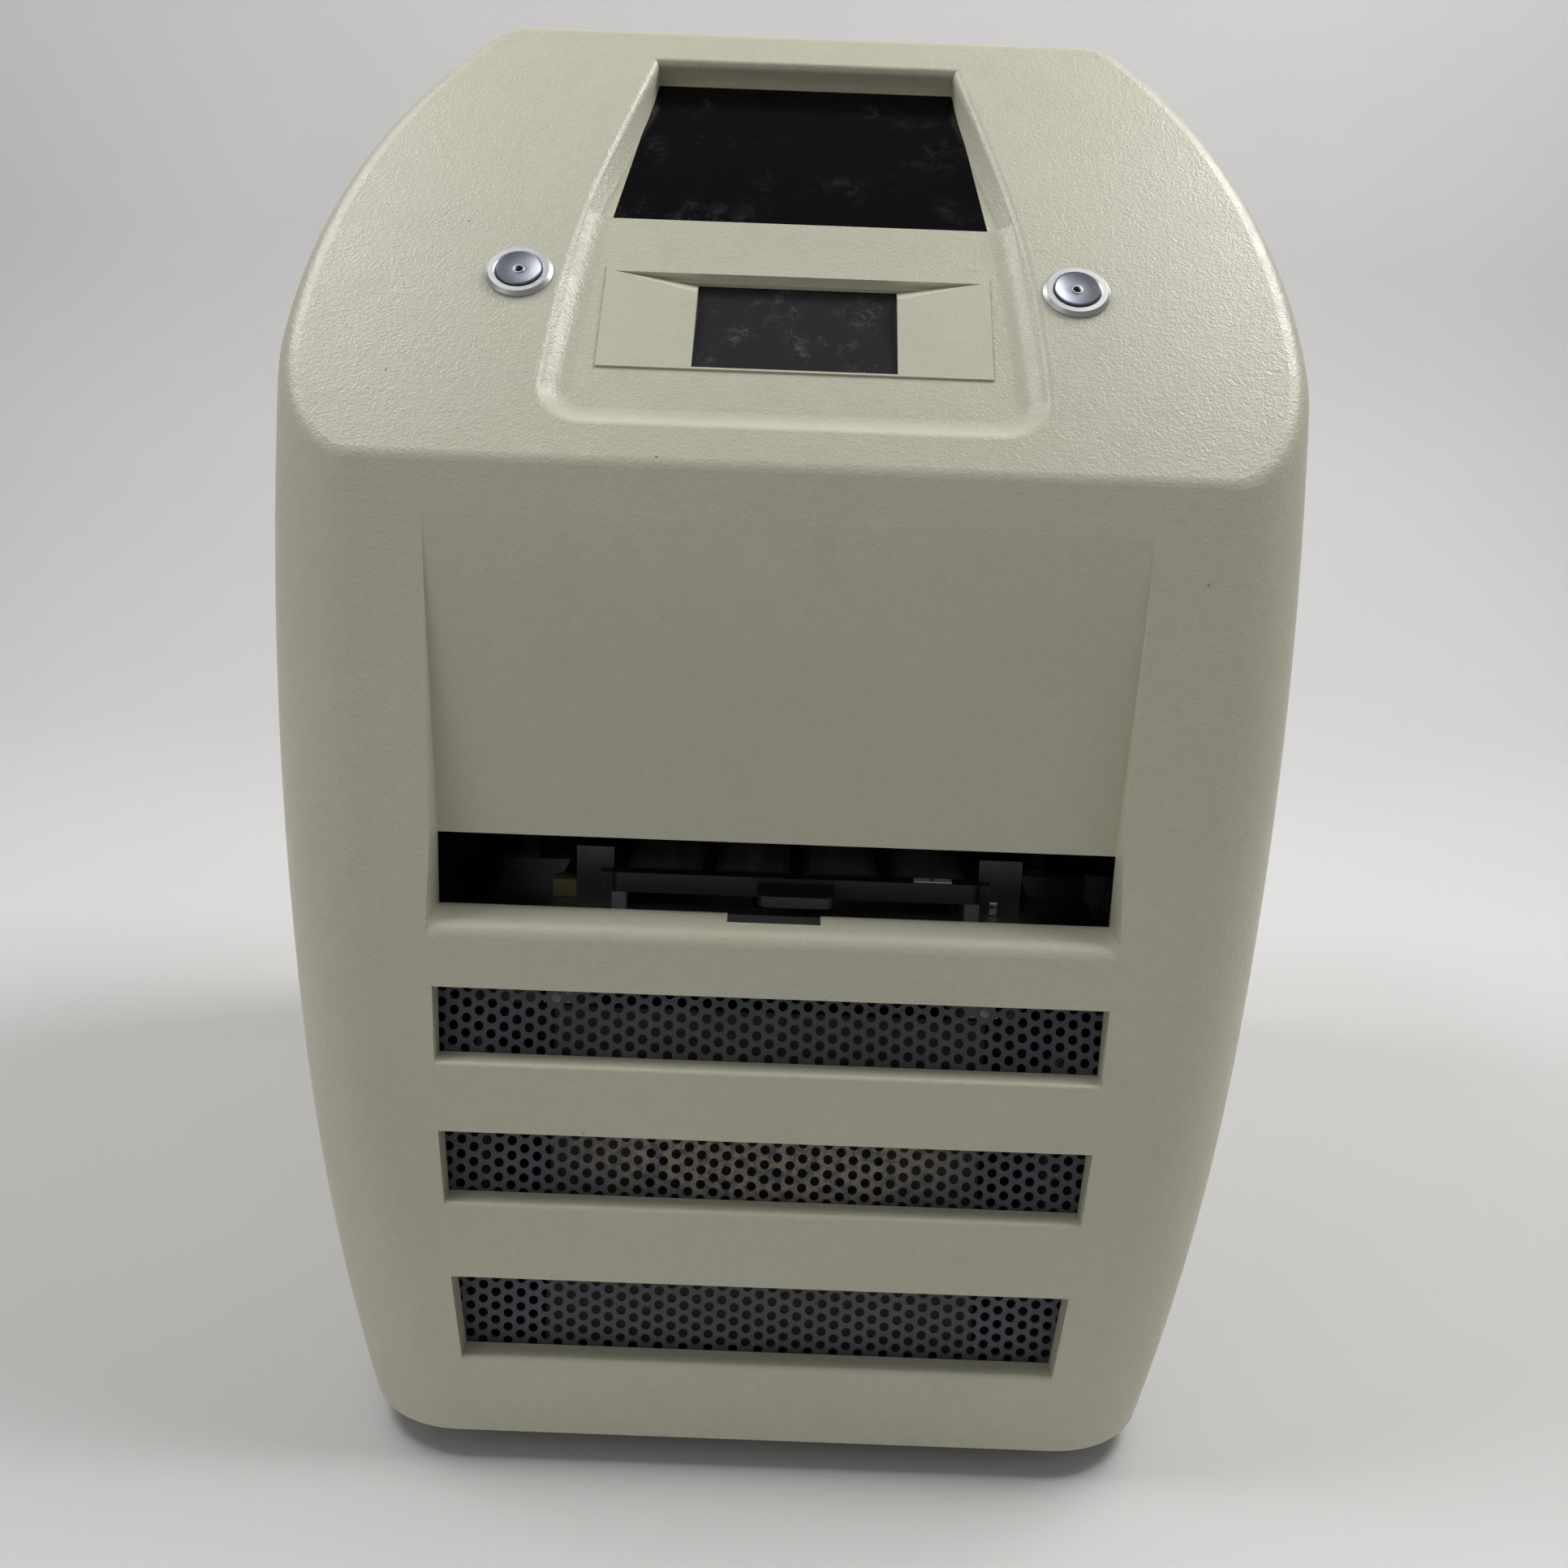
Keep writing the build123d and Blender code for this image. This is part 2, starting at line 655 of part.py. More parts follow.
def insert_face(grow):
    """Rectangle of the display insert."""
    long = insert_long()
    centre = insert_plane().origin + insert_plane().y_dir * (long / 2)
    plane = Plane(origin=centre, x_dir=(1, 0, 0), z_dir=insert_plane().z_dir)
    return plane * Rectangle(2 * (INSERT_HALF + grow), long + 2 * grow)


def button_axis(side):
    """Plane of one push button on the upper face."""
    return face_plane(BUTTON_T, side * BUTTON_X)


def floor_lugs(stations):
    """Lugs inside the cover's side walls that stand on the floor plate."""
    inner = body_form(WALL / 2)
    lugs = []
    for y in stations:
        for side in (-1, 1):
            low, high = sorted((side * LUG_INNER_X, side * HALF_WIDTH))
            lugs.append(block(low, high, y - LUG_HALF, y + LUG_HALF, PLATE_TOP_Z, PLATE_TOP_Z + LUG_HIGH) & inner)
    return lugs


def wall_bores(cover):
    """Bores of the two push buttons through the cover."""
    for side in (-1, 1):
        cover -= extrude(button_axis(side) * Circle(BARREL_R + GAP / 2), amount=BEYOND / 3, both=True)
    return cover


def lip_edges(part, z, half):
    """Long horizontal edges of the front skin at height z."""
    picked = []
    for edge in part.edges():
        box = edge.bounding_box()
        level = abs(box.min.Z - z) < 0.05 and abs(box.max.Z - z) < 0.05
        skin = abs(box.min.Y - front_surface_y(z)) < 0.3
        if level and skin and box.size.X > half:
            picked.append(edge)
    return picked


def head_edge(cover):
    """Edge of the well's rim over the window."""
    head_z = face_point(WELL_TOP_T)[1]
    picked = []
    for edge in cover.edges():
        middle = edge @ 0.5
        on_skin = all(abs(sunk(edge @ share)) < GAP for share in (0.1, 0.5, 0.9))
        if on_skin and abs(middle.Z - head_z) < WALL and abs(middle.X) < WALL:
            picked.append(edge)
    return picked


def front_cover():
    """Moulded front cover with scoop, slot, vents, display well and button bores."""
    cavity = body_form(WALL)
    cavity -= vent_block() - body_form(VENT_REVEAL, soft_face=False)
    cavity -= slot_block(WALL)
    cavity -= scoop_tool(WALL)
    for deep in well_tool(WALL):
        cavity -= deep
    skin = body_form(0) - cavity
    cover = skin & ahead_of_seam(SEAM_Y - SEAL / 2)
    cover -= scoop_tool()
    cover -= slot_block(0)
    cover = fillet(lip_edges(cover, SLOT_LEDGE_Z, SLOT_HALF), LEDGE_LIP_R)
    for vent in VENTS:
        cover -= vent_tool(*vent)
        cover = fillet(lip_edges(cover, vent[1], vent[3]), VENT_LIP_R)
    for deep in well_tool():
        cover -= deep
    cover = fillet(rim_edges(cover), WELL_RIM_R)
    cover = fillet(head_edge(cover), WELL_HEAD_R)
    cover -= extrude(window_face(-GAP), amount=-WINDOW_THICK)
    cover -= extrude(window_face(WINDOW_LAP), amount=BEYOND / 3, both=True)
    cover -= extrude(insert_face(INSERT_SEAM), amount=-INSERT_THICK)
    cover -= extrude(insert_face(-WINDOW_LAP), amount=BEYOND / 4, both=True)
    ledge_back = front_surface_y(SLOT_LEDGE_Z) + LEDGE_DEPTH
    cover -= block(-NOTCH_HALF, NOTCH_HALF, ledge_back - NOTCH_RUN, ledge_back + WALL,
                   SLOT_LEDGE_Z - NOTCH_DEPTH, SLOT_LEDGE_Z + WALL)
    for lug in floor_lugs(FRONT_LUG_Y):
        cover += lug
    return wall_bores(cover)


def perforated_screen():
    """Curved sheet behind the three vents."""
    inset = VENT_REVEAL + SCREEN_GAP
    sheet = body_form(inset, soft_face=False) - body_form(inset + SCREEN_THICK, soft_face=False)
    half = VENTS[0][2] + SCREEN_MARGIN
    low = VENTS[-1][1] - SCREEN_MARGIN
    high = VENTS[0][0] + SCREEN_MARGIN
    return sheet & block(-half, half, FRONT_Y, front_surface_y(high) + 2 * inset, low, high)


def cover_seal():
    """Soft strip in the parting line, just below the skin."""
    ring = body_form(SEAL_INSET) - body_form(WALL)
    wide = HALF_WIDTH + BEYOND
    return ring & block(-wide, wide, SEAM_Y - SEAL / 2, SEAM_Y + SEAL / 2, SHELL_BASE_Z, TOP_Z)


def rear_cover():
    """Rear cover with a recessed lip for the connector panel."""
    cavity = body_form(WALL)
    low, high = REAR_PANEL_Z
    half = REAR_PANEL_X
    lip = REAR_LIP
    cavity -= block(-half - WALL, half + WALL, REAR_PANEL_Y - REAR_PANEL_THICK - lip, DEPTH, low - WALL, high + WALL)
    cover = (body_form(0) - cavity) & behind_seam(SEAM_Y + SEAL / 2)
    seat_y = REAR_PANEL_Y - REAR_PANEL_THICK
    cover -= block(-half - GAP, half + GAP, seat_y, DEPTH, low - GAP, high + GAP)
    cover -= block(-half + lip, half - lip, seat_y - 2 * lip, seat_y + 1, low + lip, high - lip)
    for lug in floor_lugs(REAR_LUG_Y):
        cover += lug
    return cover


# ---------------------------------------------------------------- window, display, buttons
def viewing_window():
    """Smoked window plate seated in the well floor."""
    return extrude(window_face(0), amount=-WINDOW_THICK)


def insert_box(x0, x1, y0, y1, z0, z1):
    """Box in the display insert's own frame."""
    local = block(x0, x1, y0, y1, z0, z1)
    return insert_plane().location * local


def display_slope():
    """Foot and head of the display surface in the insert's own (up, out) frame."""
    foot = (LCD_FOOT_MARGIN, -LCD_FOOT_SINK)
    head = (insert_long() - LCD_HEAD_MARGIN, -LCD_RECESS)
    return foot, head


def display_prism(half, top, bottom):
    """Bar along X between two offsets from the display surface."""
    foot, head = display_slope()
    points = [(foot[0], foot[1] + bottom), (head[0], head[1] + bottom), (head[0], head[1] + top), (foot[0], foot[1] + top)]
    side = Plane(origin=(0, 0, 0), x_dir=(0, 1, 0), z_dir=(1, 0, 0))
    bar = extrude(side * make_face(Polyline(*points, close=True)), amount=half, both=True)
    return insert_plane().location * bar


def corner_ramp(side):
    """Sloping facet beside the head of the display, deepest at the display's corner."""
    long = insert_long()
    head = long - LCD_HEAD_MARGIN
    low = head - RAMP_DROP
    inner = side * (LCD_HALF - 0.5)
    outer = side * (INSERT_HALF - RAMP_MARGIN)
    rim = Vector(outer, head, 0.2)
    near = Vector(inner, head, 0.2)
    deep = Vector(inner, head, -LCD_RECESS)
    foot = Vector(inner, low, 0.2)
    corners = [(rim, near, deep), (rim, deep, foot), (rim, foot, near), (near, foot, deep)]
    shell = Shell([Face(Wire.make_polygon(list(three), close=True)) for three in corners])
    return insert_plane().location * Solid(shell)


def display_bezel():
    """Insert with a sunk display window and ramps to its upper corners."""
    bezel = extrude(insert_face(0), amount=-INSERT_THICK)
    pocket_half = LCD_HALF + WINDOW_THICK
    back = LCD_RECESS + GLASS_THICK + MODULE_THICK / 2
    lap = WINDOW_LAP + INSERT_SEAM
    bezel += insert_box(-pocket_half, pocket_half, lap, insert_long() - lap, -back, -INSERT_THICK / 2)
    bezel += insert_box(-INSERT_HALF + lap, INSERT_HALF - lap, lap + RAMP_BACK, insert_long() - lap,
                        -INSERT_THICK - RAMP_BACK_THICK, -INSERT_THICK / 2)
    for side in (-1, 1):
        bezel -= corner_ramp(side)
    bezel -= display_prism(LCD_HALF, 2 * LCD_RECESS, -GLASS_THICK)
    foot, head = display_slope()
    return bezel - insert_box(-LCD_HALF + 2, LCD_HALF - 2, lap + 2, head[0] - lap, -2 * back, 0)


def display_glass():
    """Tinted cover glass of the display."""
    return display_prism(LCD_HALF - GAP / 2, 0, -GLASS_THICK) - insert_box(
        -LCD_HALF, LCD_HALF, -5, LCD_FOOT_MARGIN + GAP / 2, -BEYOND / 2, BEYOND / 2)


def display_module():
    """Display panel and its circuit board behind the bezel."""
    back = LCD_RECESS + GLASS_THICK + MODULE_THICK / 2
    lap = WINDOW_LAP + INSERT_SEAM
    half = LCD_HALF + WINDOW_THICK
    board = insert_box(-half, half, lap, insert_long() - lap, -back - 1.6, -back)
    parts = insert_box(-half + 8, half - 20, lap + 6, lap + 20, -back - 6, -back - 1.6)
    plug = insert_box(half - 14, half - 4, lap + 8, lap + 26, -back - 8, -back - 1.6)
    return board + parts + plug


def button_turned(side, profile):
    """Body turned about a button's axis from a (radius, height) outline."""
    local = revolve(Plane.XZ * make_face(Polyline(*profile, close=True)), axis=Axis.Z)
    return button_axis(side).location * local


def button_housing(side):
    """Steel switch body: dished bezel, barrel and the bore of the cap."""
    bore = CAP_R + RUN
    floor = -CAP_DEEP - CAP_TRAVEL - 1.0
    return button_turned(side, [
        (bore, BEZEL_RISE - 0.6), (bore + 0.8, BEZEL_RISE), (BEZEL_R - 1.2, BEZEL_RISE), (BEZEL_R, BEZEL_RISE / 3),
        (BEZEL_R, 0.05), (BARREL_R, 0.05), (BARREL_R, -BARREL_LONG), (0, -BARREL_LONG), (0, floor), (bore, floor),
    ])


def button_cap(side):
    """Dished cap of the switch, with a socket for its lamp."""
    edge_r = CAP_R - CAP_EDGE
    middle = (CAP_R * 0.6, CAP_RISE - CAP_DISH * 0.8)
    wire = Wire([
        Line((LAMP_R, -CAP_DEEP), (CAP_R, -CAP_DEEP)),
        Line((CAP_R, -CAP_DEEP), (CAP_R, CAP_RISE - CAP_EDGE)),
        Line((CAP_R, CAP_RISE - CAP_EDGE), (edge_r, CAP_RISE)),
        ThreePointArc((edge_r, CAP_RISE), middle, (LAMP_R, CAP_RISE - CAP_DISH)),
        Line((LAMP_R, CAP_RISE - CAP_DISH), (LAMP_R, -CAP_DEEP)),
    ])
    return button_axis(side).location * revolve(Plane.XZ * make_face(wire), axis=Axis.Z)


def button_lamp(side):
    """Pilot lamp in the middle of the cap."""
    rise = CAP_RISE - CAP_DISH + 0.1
    return button_turned(side, [(0, -CAP_DEEP), (LAMP_R, -CAP_DEEP), (LAMP_R, rise - 0.3), (LAMP_R - 0.4, rise), (0, rise)])


def button_nut(side):
    """Hexagon nut that clamps the switch behind the cover."""
    local = extrude(RegularPolygon(NUT_R, 6) - Circle(BARREL_R + RUN), amount=NUT_THICK)
    drop = WALL + NUT_THICK + 0.1
    return button_axis(side).location * (Pos(0, 0, -drop) * local)


# ---------------------------------------------------------------- base
def foot_places():
    """Centres of the four feet."""
    return {
        "front_left": (-FOOT_X, -FOOT_Y),
        "front_right": (FOOT_X, -FOOT_Y),
        "rear_left": (-FOOT_X, FOOT_Y),
        "rear_right": (FOOT_X, FOOT_Y),
    }


def base_plate():
    """Steel floor plate that follows the foot of the covers."""
    plate = body_form(WALL + PLATE_GAP) & block(-HALF_WIDTH, HALF_WIDTH, -DEPTH, DEPTH, SHELL_BASE_Z, PLATE_TOP_Z)
    for x, y in foot_places().values():
        plate -= rod(FOOT_SCREW_R + 0.2, (x, y, 0), (x, y, 2 * SHELL_BASE_Z))
    return plate


def rubber_foot(x, y):
    """Tapered rubber foot with a countersunk screw seat."""
    foot = Cone(FOOT_R - 2, FOOT_R, SHELL_BASE_Z, align=(Align.CENTER, Align.CENTER, Align.MIN))
    foot -= Cylinder(FOOT_SCREW_HEAD_R + GAP, SHELL_BASE_Z / 2, align=(Align.CENTER, Align.CENTER, Align.MIN))
    foot -= Cylinder(FOOT_SCREW_R + 0.2, 3 * SHELL_BASE_Z)
    return Pos(x, y, 0) * foot


def foot_screws():
    """Screw and nut of each foot."""
    screws = []
    for x, y in foot_places().values():
        head_z = SHELL_BASE_Z / 2
        screw = rod(FOOT_SCREW_R, (x, y, head_z), (x, y, PLATE_TOP_Z + 5))
        screw += rod(FOOT_SCREW_HEAD_R, (x, y, head_z - 2.5), (x, y, head_z))
        screw += Pos(x, y, PLATE_TOP_Z) * extrude(RegularPolygon(FOOT_SCREW_HEAD_R, 6), amount=4)
        screws.append(screw)
    return Compound(screws)


# ---------------------------------------------------------------- bench and its load path
def bench_posts():
    """Four turned posts between the floor plate and the bench."""
    posts = []
    for x in (-POST_X, POST_X):
        for y in (POST_FRONT_Y, POST_REAR_Y):
            posts.append(rod(POST_R, (x, y, PLATE_TOP_Z), (x, y, BENCH_TOP_Z - BENCH_THICK)))
    return Compound(posts)


def optical_bench():
    """Cast bench plate, pocketed underneath, with the lamp bore and a motor notch."""
    low = BENCH_TOP_Z - BENCH_THICK
    bench = block(-BENCH_HALF, BENCH_HALF, BENCH_FRONT_Y, BENCH_REAR_Y, low, BENCH_TOP_Z)
    upright = bench.edges().filter_by(Axis.Z)
    bench = fillet(upright, BENCH_THICK / 2)
    motor_half = MOTOR_SIZE / 2 + 2
    bench -= block(-BENCH_HALF - 1, Y_SCREW_X + motor_half, Y_MOTOR_Y, BENCH_REAR_Y + 1, low - 1, BENCH_TOP_Z + 1)
    bench -= rod(CONDENSER_R + 3, (OPTIC_X, OPTIC_Y, low - 1), (OPTIC_X, OPTIC_Y, BENCH_TOP_Z + 1))
    for x0, x1, y0, y1 in ((-88, -36, -92, -60), (50, 88, -92, -60), (-88, -36, -48, 8), (50, 88, -48, 8),
                           (-88, 88, 24, 84)):
        bench -= block(x0, x1, y0, y1, low - 1, low + BENCH_THICK / 2)
    return bench


def y_rail(x):
    """Ground guide rail on the bench, waisted along its sides."""
    rail = block(x - RAIL_HALF, x + RAIL_HALF, RAIL_FRONT_Y, RAIL_REAR_Y, BENCH_TOP_Z, RAIL_TOP_Z)
    waist = RAIL_HIGH / 2
    for side in (-1, 1):
        edge = x + side * RAIL_HALF
        rail -= block(edge - 1, edge + 1, RAIL_FRONT_Y - 1, RAIL_REAR_Y + 1, BENCH_TOP_Z + waist - 1.5, BENCH_TOP_Z + waist + 1.5)
    return rail


def y_lead_screw():
    """Drive screw of the Y axis, with plain journals at both ends."""
    z = Y_SCREW_Z
    screw = rod(SCREW_R, (Y_SCREW_X, Y_BEARING_FRONT + BEARING_LONG + RUN, z), (Y_SCREW_X, Y_BEARING_REAR - RUN, z))
    return screw + rod(SCREW_R - 1, (Y_SCREW_X, Y_BEARING_FRONT, z), (Y_SCREW_X, Y_MOTOR_Y - GAP, z))


def y_screw_bearings():
    """Bearing blocks of the Y screw on the bench."""
    blocks = []
    for y in (Y_BEARING_FRONT, Y_BEARING_REAR):
        body = block(Y_SCREW_X - 9, Y_SCREW_X + 9, y, y + BEARING_LONG, BENCH_TOP_Z, CARRIAGE_Z - 0.6)
        body -= rod(SCREW_R - 1 + JOURNAL_GAP, (Y_SCREW_X, y - 1, Y_SCREW_Z), (Y_SCREW_X, y + BEARING_LONG + 1, Y_SCREW_Z))
        blocks.append(body)
    return Compound(blocks)


def stepper(size, long, pilot_r):
    """Stepping motor with its pilot towards local +Z and chamfered corners."""
    motor = Box(size, size, long, align=(Align.CENTER, Align.CENTER, Align.MAX))
    motor = chamfer(motor.edges().filter_by(Axis.Z), size / 10)
    band = Box(size + 2, size + 2, long / 3) - Box(size - 1.5, size - 1.5, long / 3)
    return motor - Pos(0, 0, -long / 2) * band


def y_motor():
    """Motor of the Y axis, hung on the rear edge of the bench notch."""
    plane = Plane(origin=(Y_SCREW_X, Y_MOTOR_Y, Y_SCREW_Z), x_dir=(1, 0, 0), z_dir=(0, -1, 0))
    return plane.location * stepper(MOTOR_SIZE, MOTOR_LONG, 11)


def channel_block(x, y, z0, z1, half_x, half_y, rail_top, rail_half, along_y):
    """Guide block that straddles a rail with running clearance."""
    body = block(x - half_x, x + half_x, y - half_y, y + half_y, z0, z1)
    if along_y:
        return body - block(x - rail_half - RUN, x + rail_half + RUN, y - half_y - 1, y + half_y + 1, z0 - 1, rail_top + RUN)
    return body - block(x - half_x - 1, x + half_x + 1, y - rail_half - RUN, y + rail_half + RUN, z0 - 1, rail_top + RUN)


def y_carriage():
    """Lower stage plate with four guide blocks, the screw nut and a light window."""
    x0, x1 = CARRIAGE_X
    y0, y1 = CARRIAGE_Y
    plate = block(x0, x1, y0, y1, CARRIAGE_Z, CARRIAGE_TOP_Z)
    plate = fillet(plate.edges().filter_by(Axis.Z), 5)
    plate -= block(OPTIC_X - LIGHT_HALF, OPTIC_X + LIGHT_HALF, LIGHT_Y[0], LIGHT_Y[1], CARRIAGE_Z - 1, CARRIAGE_TOP_Z + 1)
    low = BENCH_TOP_Z + RAIL_HIGH / 3
    for x in (-RAIL_X, RAIL_X):
        for y in (y0 + BLOCK_LONG / 2 + 3, CROSS_RAIL_Y[1]):
            plate += channel_block(x, y, low, CARRIAGE_Z, BLOCK_HALF, BLOCK_LONG / 2, RAIL_TOP_Z, RAIL_HALF, True)
    nut = block(Y_SCREW_X - 9, Y_SCREW_X + 9, Y_NUT_Y - 10, Y_NUT_Y + 10, BENCH_TOP_Z + 0.8, CARRIAGE_Z)
    nut -= rod(SCREW_R + RUN, (Y_SCREW_X, Y_NUT_Y - 11, Y_SCREW_Z), (Y_SCREW_X, Y_NUT_Y + 11, Y_SCREW_Z))
    return plate + nut


def x_rail(y):
    """Cross rail on the lower stage plate."""
    x0, x1 = CARRIAGE_X
    return block(x0, x1, y - CROSS_RAIL_HALF, y + CROSS_RAIL_HALF, CARRIAGE_TOP_Z, CROSS_TOP_Z)


def x_screw_bearings():
    """Bearing blocks of the cross screw on the lower stage plate."""
    blocks = []
    for x in (X_BEARING_LEFT, X_BEARING_RIGHT):
        body = block(x, x + X_BEARING_LONG, X_SCREW_Y - 6, X_SCREW_Y + 6, CARRIAGE_TOP_Z, X_SCREW_Z + 6)
        body -= rod(X_JOURNAL_R + JOURNAL_GAP, (x - 1, X_SCREW_Y, X_SCREW_Z), (x + X_BEARING_LONG + 1, X_SCREW_Y, X_SCREW_Z))
        blocks.append(body)
    return Compound(blocks)


def x_lead_screw():
    """Drive screw of the X axis."""
    end = X_BEARING_RIGHT + X_BEARING_LONG
    screw = rod(X_SCREW_R, (X_BEARING_LEFT + X_BEARING_LONG + RUN, X_SCREW_Y, X_SCREW_Z), (X_BEARING_RIGHT - RUN, X_SCREW_Y, X_SCREW_Z))
    return screw + rod(X_JOURNAL_R, (X_BEARING_LEFT, X_SCREW_Y, X_SCREW_Z), (end - GAP, X_SCREW_Y, X_SCREW_Z))


def x_motor():
    """Motor of the X axis, bolted to the right bearing block."""
    start = X_BEARING_RIGHT + X_BEARING_LONG
    plane = Plane(origin=(start, X_SCREW_Y, X_SCREW_Z), x_dir=(0, 1, 0), z_dir=(-1, 0, 0))
    return plane.location * stepper(SMALL_MOTOR, SMALL_MOTOR, 8)


def x_slide():
    """Upper stage plate with guide blocks, tray seats, nut arm and a wide window."""
    x0, x1 = SLIDE_X
    y0, y1 = SLIDE_Y
    plate = block(x0, x1, y0, y1, SLIDE_Z, SLIDE_TOP_Z)
    plate = fillet(plate.edges().filter_by(Axis.Z), 4)
    open_half = TRAY_HALF - SEAT_WIDE - 2
    front = TRAY_FRONT_Y + TRAY_RIM
    plate -= block(TRAY_CENTRE_X - open_half, TRAY_CENTRE_X + open_half, front, front + GLASS_LONG, SLIDE_Z - 1, SLIDE_TOP_Z + 1)
    low = CARRIAGE_TOP_Z + 2
    for x in (OPTIC_X - SLIDE_BLOCK_X, OPTIC_X + SLIDE_BLOCK_X):
        for y in CROSS_RAIL_Y:
            plate += channel_block(x, y, low, SLIDE_Z, BLOCK_LONG / 2, SLIDE_BLOCK_HALF, CROSS_TOP_Z, CROSS_RAIL_HALF, False)
    plate += block(OPTIC_X - 10, OPTIC_X + 10, y1 - 1, X_SCREW_Y + 6, X_SCREW_Z - 6, X_SCREW_Z + 6)
    plate -= rod(X_SCREW_R + RUN, (OPTIC_X - 20, X_SCREW_Y, X_SCREW_Z), (OPTIC_X + 20, X_SCREW_Y, X_SCREW_Z))
    for side in (-1, 1):
        outer = TRAY_CENTRE_X + side * TRAY_HALF
        inner = outer - side * SEAT_WIDE
        plate += block(min(inner, outer), max(inner, outer), TRAY_FRONT_Y, TRAY_FRONT_Y + TRAY_DEPTH,
                       SLIDE_TOP_Z, TRAY_BOTTOM_Z)
    return plate


def guide_bracket(side, wide):
    """Side guide of the tray: a low fence with a tall lug at the front."""
    inner = TRAY_CENTRE_X + side * (TRAY_HALF + GUIDE_GAP)
    outer = inner + side * wide
    slim = inner + side * FENCE_WIDE
    fence = block(min(inner, slim), max(inner, slim), TRAY_FRONT_Y + 6, TRAY_FRONT_Y + TRAY_DEPTH,
                  SLIDE_TOP_Z, TRAY_TOP_Z - 2)
    lug = block(min(inner, outer), max(inner, outer), TRAY_FRONT_Y + 10, TRAY_FRONT_Y + 22, SLIDE_TOP_Z, GUIDE_TOP_Z)
    return fence + lug


def glass_places():
    """X of each glass slide in the tray."""
    first = -(GLASS_COUNT - 1) / 2
    return [TRAY_CENTRE_X + (first + i) * GLASS_PITCH for i in range(GLASS_COUNT)]


def slide_tray():
    """Tray with a pocket and a light window for each glass slide, and a finger tab."""
    back = TRAY_FRONT_Y + TRAY_DEPTH
    tray = block(TRAY_CENTRE_X - TRAY_HALF, TRAY_CENTRE_X + TRAY_HALF, TRAY_FRONT_Y, back, TRAY_BOTTOM_Z, TRAY_TOP_Z)
    tray = fillet(tray.edges().filter_by(Axis.Z), 3)
    tab = block(TRAY_CENTRE_X - TAB_HALF, TRAY_CENTRE_X + TAB_HALF, TRAY_FRONT_Y - TAB_REACH, TRAY_FRONT_Y + 1, *TAB_Z)
    tab = fillet(tab.edges().filter_by(Axis.Z).sort_by(Axis.Y)[:2], 4)
    tray += tab
    front = TRAY_FRONT_Y + TRAY_RIM - GLASS_GAP
    long = GLASS_LONG + 2 * GLASS_GAP
    floor = TRAY_TOP_Z - POCKET_DEEP
    for x in glass_places():
        half = GLASS_WIDE / 2 + GLASS_GAP
        tray -= block(x - half, x + half, front, front + long, floor, TRAY_TOP_Z + 1)
        tray -= block(x - half + 3, x + half - 3, front + 5, front + long - 5, TRAY_BOTTOM_Z - 1, floor + 1)
    return tray


def glass_slides():
    """Glass slides lying in the tray's pockets."""
    floor = TRAY_TOP_Z - POCKET_DEEP
    front = TRAY_FRONT_Y + TRAY_RIM
    return Compound([
        block(x - GLASS_WIDE / 2, x + GLASS_WIDE / 2, front, front + GLASS_LONG, floor, floor + GLASS_SLIDE_THICK)
        for x in glass_places()
    ])


def tray_label():
    """Small plain number plate on the tray's front rim."""
    x = TRAY_CENTRE_X + LABEL_X
    y = TRAY_FRONT_Y + TRAY_RIM / 2
    return block(x - 6.5, x + 6.5, y - 2, y + 2, TRAY_TOP_Z, TRAY_TOP_Z + 0.4)


# ---------------------------------------------------------------- optics
def turned(x, y, profile):
    """Body turned about a vertical axis from a (radius, z) outline."""
    return Pos(x, y, 0) * revolve(Plane.XZ * make_face(Polyline(*profile, close=True)), axis=Axis.Z)


def lamp_housing():
    """Finned lamp housing under the bench."""
    top = BENCH_TOP_Z - BENCH_THICK
    box = block(OPTIC_X - 30, OPTIC_X + 30, OPTIC_Y - 30, OPTIC_Y + 30, top - LAMP_HIGH, top)
    for i in range(5):
        z = top - LAMP_HIGH + 5 + i * 7
        box -= block(OPTIC_X - 31, OPTIC_X - 24, OPTIC_Y - 31, OPTIC_Y + 31, z, z + 3)
        box -= block(OPTIC_X + 24, OPTIC_X + 31, OPTIC_Y - 31, OPTIC_Y + 31, z, z + 3)
    return box


def condenser():
    """Condenser barrel through the bench, under the light window."""
    low = BENCH_TOP_Z - BENCH_THICK + 0.2
    top = CARRIAGE_Z - 2
    return turned(OPTIC_X, OPTIC_Y, [
        (0, low), (CONDENSER_R, low), (CONDENSER_R, BENCH_TOP_Z), (CONDENSER_R + 8, BENCH_TOP_Z),
        (CONDENSER_R + 8, BENCH_TOP_Z + 3), (CONDENSER_R, BENCH_TOP_Z + 3), (CONDENSER_R - 5, top), (0, top + 1),
    ])


